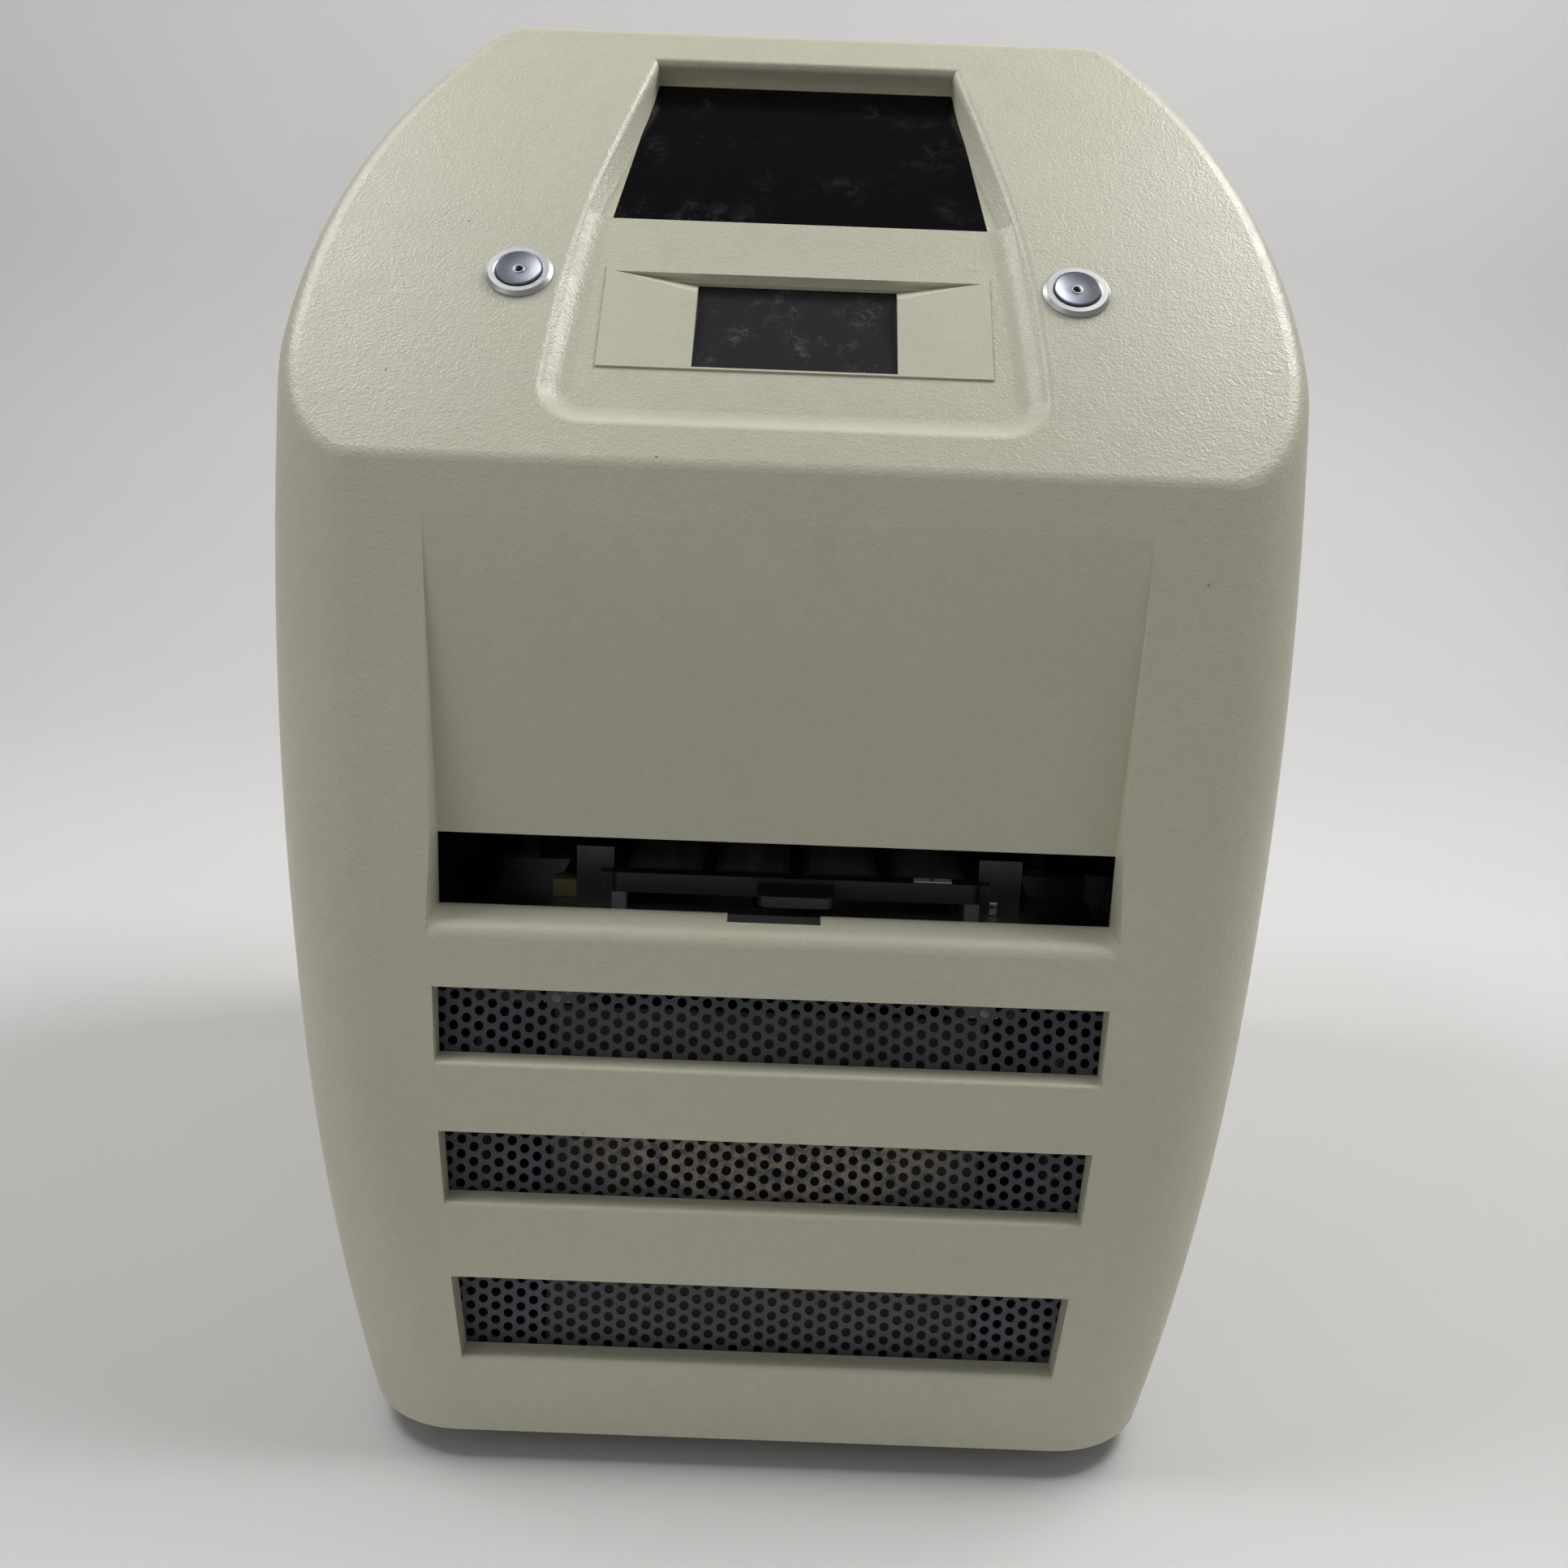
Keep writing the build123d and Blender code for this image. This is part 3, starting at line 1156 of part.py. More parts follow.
def optics_column():
    """C-shaped cast column that carries the optics over the stage."""
    y0, y1 = COLUMN_Y
    z0, z1 = ARM_Z
    h0, h1 = HEAD_Y
    low = BENCH_TOP_Z
    frame = block(OPTIC_X - COLUMN_HALF, OPTIC_X + COLUMN_HALF, y0, y1, low, COLUMN_TOP_Z)
    frame += block(OPTIC_X - ARM_HALF, OPTIC_X + ARM_HALF, h1 - 1, y0 + 1, z0, z1)
    frame += block(OPTIC_X - HEAD_HALF, OPTIC_X + HEAD_HALF, h0, h1, *HEAD_Z)
    rib = [(y0 + 1, z0 - 45), (y0 + 1, z0 + 1), (y0 - 50, z0 + 1)]
    web = extrude(Plane.YZ * make_face(Polyline(*rib, close=True)), amount=8, both=True)
    frame += Pos(OPTIC_X, 0, 0) * web
    frame -= block(OPTIC_X - COLUMN_HALF + 16, OPTIC_X + COLUMN_HALF - 16, y0 + 8, y1 + 1, low + 16, COLUMN_TOP_Z - 16)
    return frame


def focus_rail():
    """Vertical guide rail on the head of the column."""
    return block(OPTIC_X - 6, OPTIC_X + 6, HEAD_Y[0] - 6, HEAD_Y[0], HEAD_Z[0] + 2, HEAD_Z[0] + 66)


def focus_slide():
    """Focus carriage with the ring that holds the objective."""
    face = HEAD_Y[0]
    slide = block(OPTIC_X - 20, OPTIC_X + 20, face - 10, face - RUN, HEAD_Z[0] + 6, FOCUS_TOP_Z)
    slide -= block(OPTIC_X - 6 - RUN, OPTIC_X + 6 + RUN, face - 6 - RUN, face, HEAD_Z[0], FOCUS_TOP_Z + 1)
    slide += block(OPTIC_X - 23, OPTIC_X + 23, OPTIC_Y - 23, face - 9, RING_Z[0], RING_Z[1])
    slide -= rod(OBJECTIVE_R + 0.1, (OPTIC_X, OPTIC_Y, RING_Z[0] - 1), (OPTIC_X, OPTIC_Y, RING_Z[1] + 1))
    x = OPTIC_X + ACTUATOR_X
    slide += block(OPTIC_X + 10, x + 6, face - 9.5, face - 1, RING_Z[0] - 10, RING_Z[0] - 6)
    y = face - 5.5
    return slide + rod(ACTUATOR_ROD_R, (x, y, RING_Z[0] - 7), (x, y, RING_Z[0] + 16))


def objective():
    """Objective lens barrel, tapered to its front lens."""
    tip = OBJECTIVE_TIP_Z
    return turned(OPTIC_X, OPTIC_Y, [
        (0, tip), (5.5, tip), (8.5, tip + 4), (9.5, tip + 12), (13.5, tip + 18), (13.5, RING_Z[0] - 14),
        (15, RING_Z[0] - 13), (15, RING_Z[0] - 3), (OBJECTIVE_R, RING_Z[0] - 2), (OBJECTIVE_R, RING_Z[1]),
        (OBJECTIVE_R + 2.5, RING_Z[1]), (OBJECTIVE_R + 2.5, RING_Z[1] + 4), (11, RING_Z[1] + 4), (11, RING_Z[1] + 8),
        (0, RING_Z[1] + 8),
    ])


def focus_actuator():
    """Motor that drives the focus carriage, on the head beside it."""
    x = OPTIC_X + ACTUATOR_X
    y = HEAD_Y[0] - 5.5
    body = block(x - 8, x + 8, HEAD_Y[0] - 18, HEAD_Y[0], RING_Z[0], RING_Z[0] + 44)
    return body - rod(ACTUATOR_ROD_R + RUN, (x, y, RING_Z[0] - 1), (x, y, RING_Z[0] + 24))


def tube_clamp():
    """Split clamp that holds the tube lens on the head."""
    low, high = TUBE_CLAMP_Z
    body = block(OPTIC_X - 26, OPTIC_X + 26, OPTIC_Y - 26, HEAD_Y[0], low, high)
    body -= rod(TUBE_R + 0.1, (OPTIC_X, OPTIC_Y, low - 1), (OPTIC_X, OPTIC_Y, high + 1))
    return body - block(OPTIC_X - 1, OPTIC_X + 1, OPTIC_Y - 27, OPTIC_Y, low - 1, high + 1)


def tube_lens():
    """Tube lens barrel between the objective and the camera."""
    low, high = TUBE_Z
    clamp_low, clamp_high = TUBE_CLAMP_Z
    return turned(OPTIC_X, OPTIC_Y, [
        (0, low), (TUBE_R - 2, low), (TUBE_R, low + 2), (TUBE_R, clamp_high), (TUBE_R + 3, clamp_high),
        (TUBE_R + 3, clamp_high + 4), (TUBE_R - 3, clamp_high + 4), (TUBE_R - 3, high), (0, high),
    ])


def camera():
    """Finned line-scan camera on top of the tube lens."""
    low = TUBE_Z[1]
    half = CAMERA_HALF
    body = block(OPTIC_X - half, OPTIC_X + half, OPTIC_Y - half, OPTIC_Y + half, low, low + CAMERA_HIGH)
    for i in range(4):
        z = low + 12 + i * 8
        for x in (OPTIC_X - half, OPTIC_X + half):
            body -= block(x - CAMERA_FIN, x + CAMERA_FIN, OPTIC_Y - half - 1, OPTIC_Y + half + 1, z, z + 4)
    return body


# ---------------------------------------------------------------- power, control and air
def power_supply():
    """Caged power supply on the floor plate."""
    x0, x1, y0, y1 = SUPPLY_BOX
    box = block(x0, x1, y0, y1, PLATE_TOP_Z, PLATE_TOP_Z + SUPPLY_HIGH)
    for i in range(8):
        y = y0 + 20 + i * 12
        box -= block(x0 + 12, x1 - 12, y, y + 5, PLATE_TOP_Z + SUPPLY_HIGH - 1.5, PLATE_TOP_Z + SUPPLY_HIGH + 1)
    return box - block(x0 + 6, x1 - 6, y1 - 10, y1 + 1, PLATE_TOP_Z + 10, PLATE_TOP_Z + SUPPLY_HIGH + 1)


def board_standoffs():
    """Spacers under the controller board."""
    x0, x1, y0, y1 = BOARD_BOX
    return Compound([
        rod(3, (x, y, PLATE_TOP_Z), (x, y, BOARD_Z)) for x in (x0 + 5, x1 - 5) for y in (y0 + 5, y1 - 5)
    ])


def controller_board():
    """Controller board with its larger parts."""
    x0, x1, y0, y1 = BOARD_BOX
    board = block(x0, x1, y0, y1, BOARD_Z, BOARD_Z + 1.6)
    top = BOARD_Z + 1.6
    for cx, cy, w, d, h in BOARD_PARTS:
        board += block(x0 + cx - w / 2, x0 + cx + w / 2, y0 + cy - d / 2, y0 + cy + d / 2, top - 0.5, top + h)
    return board


def filter_place():
    """Plane of the air filter, parallel to the vents and a little behind them."""
    low_z, high_z = FILTER_Z
    inset = VENT_REVEAL + FILTER_BEHIND
    low = (front_surface_y(low_z, inset), low_z)
    high = (front_surface_y(high_z, inset), high_z)
    return slope_plane(low, high), hypot(high[0] - low[0], high[1] - low[1])


def filter_frame():
    """Ring frame of the air filter, on two feet that stand on the floor plate."""
    plane, long = filter_place()
    ring = block(-FILTER_HALF, FILTER_HALF, 0, long, -FILTER_THICK, 0)
    ring -= block(-FILTER_OPEN, FILTER_OPEN, FILTER_SIDE, long - FILTER_SIDE, -2 * FILTER_THICK, FILTER_THICK)
    ring = plane.location * ring
    y = plane.origin.Y
    for x in (-FILTER_HALF + 10, FILTER_HALF - 10):
        leg_top = plane.origin.Z + 6
        ring += block(x - 7, x + 7, y + 1.5, y + 1.5 + FILTER_THICK, PLATE_TOP_Z, leg_top)
        ring += block(x - 7, x + 7, y + 1.5, y + 16, PLATE_TOP_Z, PLATE_TOP_Z + FILTER_THICK)
    return ring


def filter_foam():
    """Foam pad behind the filter frame."""
    plane, long = filter_place()
    half = FILTER_OPEN + 8
    side = FILTER_SIDE - 8
    return plane.location * block(-half, half, side, long - side, -FILTER_THICK - FOAM_THICK, -FILTER_THICK)


def rear_panel():
    """Connector panel with fan, inlet, switch and data openings and corner screw holes."""
    low, high = REAR_PANEL_Z
    y0 = REAR_PANEL_Y - REAR_PANEL_THICK
    panel = block(-REAR_PANEL_X, REAR_PANEL_X, y0, REAR_PANEL_Y, low, high)
    panel -= rod(FAN_BORE_R, (FAN_X, y0 - 1, FAN_Z), (FAN_X, REAR_PANEL_Y + 1, FAN_Z))
    panel -= block(INLET_X - 23.5, INLET_X + 23.5, y0 - 1, REAR_PANEL_Y + 1, INLET_Z - 13.5, INLET_Z + 13.5)
    panel -= block(INLET_X - 11, INLET_X + 11, y0 - 1, REAR_PANEL_Y + 1, ROCKER_Z - 14, ROCKER_Z + 14)
    panel -= block(PORT_X - 15, PORT_X + 15, y0 - 1, REAR_PANEL_Y + 1, PORT_Z - 8, PORT_Z + 8)
    for x, z in rear_screw_places():
        panel -= rod(1.7, (x, y0 - 1, z), (x, REAR_PANEL_Y + 1, z))
    return panel


def rear_screw_places():
    """Centres (x, z) of the panel screws."""
    low, high = REAR_PANEL_Z
    edge = REAR_LIP / 2 + 0.3
    return [(x, z) for x in (-REAR_PANEL_X + edge, REAR_PANEL_X - edge) for z in (low + edge, high - edge)]


def rear_panel_screws():
    """Pan-head screws of the connector panel."""
    screws = []
    for x, z in rear_screw_places():
        screw = rod(1.5, (x, REAR_PANEL_Y - REAR_PANEL_THICK, z), (x, REAR_PANEL_Y + 1, z))
        screws.append(screw + rod(2.8, (x, REAR_PANEL_Y, z), (x, REAR_PANEL_Y + 1.8, z)))
    return Compound(screws)


def fan_frame():
    """Square fan housing with its motor seat on four arms."""
    y1 = REAR_PANEL_Y - REAR_PANEL_THICK
    y0 = y1 - FAN_DEEP
    half = FAN_SIZE / 2
    frame = block(FAN_X - half, FAN_X + half, y0, y1, FAN_Z - half, FAN_Z + half)
    frame = fillet(frame.edges().filter_by(Axis.Y), 5)
    frame -= rod(FAN_BORE_R, (FAN_X, y0 - 1, FAN_Z), (FAN_X, y1 + 1, FAN_Z))
    frame += rod(FAN_HUB_R, (FAN_X, y0, FAN_Z), (FAN_X, y0 + 4, FAN_Z))
    for angle in (45, 135):
        arm = Box(2 * FAN_BORE_R + 2, 4, 4)
        frame += Pos(FAN_X, y0 + 2, FAN_Z) * (Rot(0, angle, 0) * arm)
    return frame - rod(FAN_SHAFT_R + RUN, (FAN_X, y0 + 0.5, FAN_Z), (FAN_X, y0 + 5, FAN_Z))


def fan_rotor():
    """Fan wheel with swept blades round a hub."""
    y1 = REAR_PANEL_Y - REAR_PANEL_THICK
    y0 = y1 - FAN_DEEP + 5
    wheel = rod(FAN_HUB_R, (FAN_X, y0, FAN_Z), (FAN_X, y1 - 2, FAN_Z))
    wheel += rod(FAN_SHAFT_R, (FAN_X, y0 - 4, FAN_Z), (FAN_X, y0 + 1, FAN_Z))
    long = FAN_BORE_R - FAN_HUB_R + 0.5
    blade = Box(long, 1.6, 18)
    for i in range(FAN_BLADES):
        turn = 360 * i / FAN_BLADES
        placed = Pos(FAN_HUB_R - 1.5 + long / 2, 0, 0) * (Rot(55, 0, 0) * blade)
        wheel += Pos(FAN_X, (y0 + y1) / 2, FAN_Z) * (Rot(0, turn, 0) * placed)
    return wheel


def fan_guard():
    """Wire finger guard on the outside of the panel."""
    y = REAR_PANEL_Y + GUARD_WIRE + GAP
    rings = None
    for i in range(4):
        ring = Pos(FAN_X, y, FAN_Z) * (Rot(90, 0, 0) * Torus(FAN_BORE_R - 1 - 8.5 * i, GUARD_WIRE))
        rings = ring if rings is None else rings + ring
    reach = FAN_SIZE / 2 + 6
    for angle in (45, 135):
        dx = reach * cos(radians(angle))
        dz = reach * sin(radians(angle))
        rings += rod(GUARD_WIRE, (FAN_X - dx, y, FAN_Z - dz), (FAN_X + dx, y, FAN_Z + dz))
        for side in (-1, 1):
            x = FAN_X + side * dx
            z = FAN_Z + side * dz
            rings += rod(3.0, (x, REAR_PANEL_Y, z), (x, y + GUARD_WIRE, z))
    return rings


def power_inlet():
    """Three-pin mains inlet with its flange."""
    y = REAR_PANEL_Y
    body = block(INLET_X - 23, INLET_X + 23, y - 24, y, INLET_Z - 13, INLET_Z + 13)
    body += block(INLET_X - 28, INLET_X + 28, y, y + 2, INLET_Z - 16, INLET_Z + 16)
    body -= block(INLET_X - 12, INLET_X + 12, y - 16, y + 3, INLET_Z - 8, INLET_Z + 8)
    for x, z in ((INLET_X - 7, INLET_Z - 2), (INLET_X + 7, INLET_Z - 2), (INLET_X, INLET_Z + 3)):
        body += block(x - 1, x + 1, y - 16.5, y - 4, z - 2, z + 2)
    return body


def switch_frame():
    """Snap-in frame of the power switch."""
    y = REAR_PANEL_Y
    frame = block(INLET_X - 10.5, INLET_X + 10.5, y - 20, y, ROCKER_Z - 13.5, ROCKER_Z + 13.5)
    frame += block(INLET_X - 13, INLET_X + 13, y, y + 1.6, ROCKER_Z - 16, ROCKER_Z + 16)
    frame -= block(INLET_X - 8, INLET_X + 8, y - 12, y + 2, ROCKER_Z - 11.5, ROCKER_Z + 11.5)
    pivot_y = y - ROCKER_SINK
    return frame - rod(ROCKER_PIN_R + RUN, (INLET_X - 9, pivot_y, ROCKER_Z), (INLET_X + 9, pivot_y, ROCKER_Z))


def power_rocker():
    """Rocker of the power switch on its pivot pins, resting on one side."""
    profile = [(-3.5, -5.0), (-3.5, 5.0), (4.7, 10.6), (5.7, 10.2), (4.1, 0.0), (5.7, -10.2), (4.7, -10.6)]
    bar = extrude(Plane.YZ * make_face(Polyline(*profile, close=True)), amount=7.7, both=True)
    bar += rod(ROCKER_PIN_R, (-8.8, 0, 0), (8.8, 0, 0))
    return Pos(INLET_X, REAR_PANEL_Y - ROCKER_SINK, ROCKER_Z) * (Rot(ROCKER_TILT / 2, 0, 0) * bar)


def data_port():
    """Pair of data sockets in one block."""
    y = REAR_PANEL_Y
    body = block(PORT_X - 14.5, PORT_X + 14.5, y - 18, y + 1.2, PORT_Z - 7.5, PORT_Z + 7.5)
    back = y - REAR_PANEL_THICK
    body += block(PORT_X - 20, PORT_X + 20, back - 2, back, PORT_Z - 12, PORT_Z + 12)
    for x in (PORT_X - 7, PORT_X + 7):
        body -= block(x - 5.5, x + 5.5, y - 12, y + 2, PORT_Z - 5, PORT_Z + 4)
    return body


def all_parts():
    """Every sub-part by name."""
    parts = {
        "front_cover": front_cover(),
        "rear_cover": rear_cover(),
        "cover_seal": cover_seal(),
        "perforated_screen": perforated_screen(),
        "viewing_window": viewing_window(),
        "display_bezel": display_bezel(),
        "display_glass": display_glass(),
        "display_module": display_module(),
        "base_plate": base_plate(),
        "foot_screws": foot_screws(),
        "bench_posts": bench_posts(),
        "optical_bench": optical_bench(),
        "y_rails": Compound([y_rail(-RAIL_X), y_rail(RAIL_X)]),
        "y_lead_screw": y_lead_screw(),
        "y_screw_bearings": y_screw_bearings(),
        "y_motor": y_motor(),
        "y_carriage": y_carriage(),
        "x_rails": Compound([x_rail(y) for y in CROSS_RAIL_Y]),
        "x_screw_bearings": x_screw_bearings(),
        "x_lead_screw": x_lead_screw(),
        "x_motor": x_motor(),
        "x_slide": x_slide(),
        "tray_guides": Compound([guide_bracket(-1, LEFT_LUG_WIDE), guide_bracket(1, RIGHT_LUG_WIDE)]),
        "slide_tray": slide_tray(),
        "glass_slides": glass_slides(),
        "tray_label": tray_label(),
        "lamp_housing": lamp_housing(),
        "condenser": condenser(),
        "optics_column": optics_column(),
        "focus_rail": focus_rail(),
        "focus_slide": focus_slide(),
        "focus_actuator": focus_actuator(),
        "objective": objective(),
        "tube_clamp": tube_clamp(),
        "tube_lens": tube_lens(),
        "camera": camera(),
        "power_supply": power_supply(),
        "board_standoffs": board_standoffs(),
        "controller_board": controller_board(),
        "filter_frame": filter_frame(),
        "filter_foam": filter_foam(),
        "rear_panel": rear_panel(),
        "rear_panel_screws": rear_panel_screws(),
        "fan_frame": fan_frame(),
        "fan_rotor": fan_rotor(),
        "fan_guard": fan_guard(),
        "power_inlet": power_inlet(),
        "switch_frame": switch_frame(),
        "power_rocker": power_rocker(),
        "data_port": data_port(),
    }
    for name, (x, y) in foot_places().items():
        parts[name + "_foot"] = rubber_foot(x, y)
    for name, side in (("left", -1), ("right", 1)):
        parts[name + "_button_housing"] = button_housing(side)
        parts[name + "_button_cap"] = button_cap(side) + button_lamp(side)
    parts["button_nuts"] = Compound([button_nut(-1), button_nut(1)])
    return parts


os.makedirs("parts", exist_ok=True)
for node, shape in all_parts().items():
    shape.label = node
    export_step(shape, f"parts/{node}.step")
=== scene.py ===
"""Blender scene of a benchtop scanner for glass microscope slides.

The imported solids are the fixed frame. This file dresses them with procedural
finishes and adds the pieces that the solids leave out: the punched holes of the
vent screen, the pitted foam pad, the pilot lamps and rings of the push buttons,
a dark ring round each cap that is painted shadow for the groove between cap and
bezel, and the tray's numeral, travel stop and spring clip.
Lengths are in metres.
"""

from __future__ import annotations

import json
import logging
import math
from collections.abc import Callable
from dataclasses import dataclass
from enum import Enum
from typing import Protocol

import bpy
from mathutils import Matrix, Vector

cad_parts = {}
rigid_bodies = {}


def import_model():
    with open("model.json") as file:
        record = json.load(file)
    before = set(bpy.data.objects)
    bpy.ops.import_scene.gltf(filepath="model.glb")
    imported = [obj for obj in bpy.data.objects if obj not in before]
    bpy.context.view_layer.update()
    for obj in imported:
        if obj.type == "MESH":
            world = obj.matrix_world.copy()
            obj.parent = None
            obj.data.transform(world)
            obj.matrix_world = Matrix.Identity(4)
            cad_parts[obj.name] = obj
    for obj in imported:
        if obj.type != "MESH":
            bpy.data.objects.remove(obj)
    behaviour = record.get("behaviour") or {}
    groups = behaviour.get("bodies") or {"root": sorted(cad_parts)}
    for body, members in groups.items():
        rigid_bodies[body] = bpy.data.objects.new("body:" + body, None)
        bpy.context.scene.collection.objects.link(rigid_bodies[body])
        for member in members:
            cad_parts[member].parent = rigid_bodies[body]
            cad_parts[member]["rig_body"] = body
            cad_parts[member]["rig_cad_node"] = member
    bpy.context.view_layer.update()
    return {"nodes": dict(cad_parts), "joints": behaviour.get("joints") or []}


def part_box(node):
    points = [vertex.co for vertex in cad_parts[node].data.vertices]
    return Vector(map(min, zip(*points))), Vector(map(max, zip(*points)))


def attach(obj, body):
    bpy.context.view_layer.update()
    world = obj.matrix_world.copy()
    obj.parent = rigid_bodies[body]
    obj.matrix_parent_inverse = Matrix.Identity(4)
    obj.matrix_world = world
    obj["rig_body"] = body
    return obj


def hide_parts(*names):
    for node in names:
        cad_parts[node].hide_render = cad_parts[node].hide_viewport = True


LOG = logging.getLogger("slide_scanner")
MM = 0.001

Colour = tuple[float, float, float]
Point = tuple[float, float, float]
Nodes = dict[str, bpy.types.Object]


class Grain(Enum):
    """Kinds of fine relief on a surface."""

    LEATHER = "leather"
    SATIN = "satin"
    SPONGE = "sponge"


class Lay(Enum):
    """Direction in which tool marks run."""

    X = (0.04, 1.0, 1.0)
    Y = (1.0, 0.04, 1.0)
    Z = (1.0, 1.0, 0.04)
    NONE = (1.0, 1.0, 1.0)


class Finish(Protocol):
    """Anything that can build a material."""

    def make(self) -> bpy.types.Material:
        """Builds the material."""


class MaterialGraph:
    """Node layout of one material around a Principled shader."""

    COLOUR_INPUTS = (0, 6, 7)  # factor, first and second colour of a mix node
    COLOUR_OUTPUT = 2

    def __init__(self, name: str) -> None:
        """Makes an empty material.

        Args:
            name: Name of the material.
        """
        self.material = bpy.data.materials.new(name)
        self.material.use_nodes = True
        self.tree = self.material.node_tree
        self.tree.nodes.clear()
        self.shader = self.tree.nodes.new("ShaderNodeBsdfPrincipled")
        output = self.tree.nodes.new("ShaderNodeOutputMaterial")
        self.tree.links.new(self.shader.outputs[0], output.inputs["Surface"])
        self.place = self.tree.nodes.new("ShaderNodeTexCoord").outputs["Object"]

    def feed(self, socket: bpy.types.NodeSocket, value: object) -> None:
        """Links a socket, or sets it where the value is a constant.

        Args:
            socket: Input socket.
            value: Output socket, number or colour.
        """
        if isinstance(value, bpy.types.NodeSocket):
            self.tree.links.new(value, socket)
        elif isinstance(value, tuple) and len(value) == 3 and socket.type == "RGBA":
            socket.default_value = (*value, 1.0)
        else:
            socket.default_value = value

    def surface(self, **values: object) -> None:
        """Feeds inputs of the shader, named with underscores for spaces."""
        for name, value in values.items():
            wanted = name.replace("_", " ").lower()
            socket = next(s for s in self.shader.inputs if s.name.lower() == wanted)
            self.feed(socket, value)

    def stretched(self, scale: Point, shift: Point = (0.0, 0.0, 0.0)) -> bpy.types.NodeSocket:
        """Object coordinates scaled and shifted.

        Args:
            scale: Factor along each axis.
            shift: Added after the scale.

        Returns:
            The mapped coordinates.
        """
        node = self.tree.nodes.new("ShaderNodeMapping")
        self.tree.links.new(self.place, node.inputs["Vector"])
        node.inputs["Scale"].default_value = scale
        node.inputs["Location"].default_value = shift
        return node.outputs["Vector"]

    def noise(
        self,
        scale: float,
        detail: float = 3.0,
        rough: float = 0.5,
        source: bpy.types.NodeSocket | None = None,
        twist: float = 0.0,
    ) -> bpy.types.NodeSocket:
        """Fractal noise.

        Args:
            scale: Waves per metre.
            detail: Octaves.
            rough: Weight of the finer octaves.
            source: Coordinates, or the object's own.
            twist: Distortion of the pattern.

        Returns:
            Value from 0 to 1.
        """
        node = self.tree.nodes.new("ShaderNodeTexNoise")
        self.tree.links.new(source or self.place, node.inputs["Vector"])
        settings = {"Scale": scale, "Detail": detail, "Roughness": rough, "Distortion": twist}
        for name, value in settings.items():
            node.inputs[name].default_value = value
        return node.outputs["Fac"]

    def cells(self, scale: float, feature: str = "F1") -> bpy.types.NodeSocket:
        """Cell pattern.

        Args:
            scale: Cells per metre.
            feature: Voronoi feature.

        Returns:
            Distance value.
        """
        node = self.tree.nodes.new("ShaderNodeTexVoronoi")
        node.feature = feature
        self.tree.links.new(self.place, node.inputs["Vector"])
        node.inputs["Scale"].default_value = scale
        return node.outputs["Distance"]

    def span(
        self,
        value: bpy.types.NodeSocket,
        low: float,
        high: float,
        out_low: float = 0.0,
        out_high: float = 1.0,
    ) -> bpy.types.NodeSocket:
        """Maps a range of values to another, clamped.

        Args:
            value: Input value.
            low: Start of the input range.
            high: End of the input range.
            out_low: Start of the output range.
            out_high: End of the output range.

        Returns:
            The mapped value.
        """
        node = self.tree.nodes.new("ShaderNodeMapRange")
        self.tree.links.new(value, node.inputs["Value"])
        settings = {"From Min": low, "From Max": high, "To Min": out_low, "To Max": out_high}
        for name, number in settings.items():
            node.inputs[name].default_value = number
        return node.outputs["Result"]

    def maths(self, operation: str, first: object, second: object) -> bpy.types.NodeSocket:
        """One arithmetic step.

        Args:
            operation: Blender's name of the operation.
            first: First socket or number.
            second: Second socket or number.

        Returns:
            The result.
        """
        node = self.tree.nodes.new("ShaderNodeMath")
        node.operation = operation
        self.feed(node.inputs[0], first)
        self.feed(node.inputs[1], second)
        return node.outputs[0]

    def blend(self, factor: object, first: object, second: object) -> bpy.types.NodeSocket:
        """Mixes two colours.

        Args:
            factor: Share of the second colour.
            first: Colour or socket.
            second: Colour or socket.

        Returns:
            The mixed colour.
        """
        node = self.tree.nodes.new("ShaderNodeMix")
        node.data_type = "RGBA"
        for socket, value in zip(self.COLOUR_INPUTS, (factor, first, second)):
            self.feed(node.inputs[socket], value)
        return node.outputs[self.COLOUR_OUTPUT]

    def relief(
        self,
        height: bpy.types.NodeSocket,
        strength: float,
        depth: float,
        under: bpy.types.NodeSocket | None = None,
    ) -> bpy.types.NodeSocket:
        """Bump from a height value.

        Args:
            height: Height value.
            strength: Weight of the bump.
            depth: Height of the relief in metres.
            under: Normal of a coarser relief.

        Returns:
            The bumped normal.
        """
        node = self.tree.nodes.new("ShaderNodeBump")
        node.inputs["Strength"].default_value = strength
        node.inputs["Distance"].default_value = depth
        self.tree.links.new(height, node.inputs["Height"])
        if under is not None:
            self.tree.links.new(under, node.inputs["Normal"])
        return node.outputs["Normal"]


# ---------------------------------------------------------------- finishes
SPECK_COLOUR: Colour = (0.05, 0.045, 0.035)
FLUFF_COLOUR: Colour = (0.24, 0.205, 0.165)


def shaded(colour: Colour, factor: float) -> Colour:
    """Colour made darker or paler.

    Args:
        colour: The colour.
        factor: Factor on each part of it.

    Returns:
        The new colour.
    """
    return tuple(factor * part for part in colour)


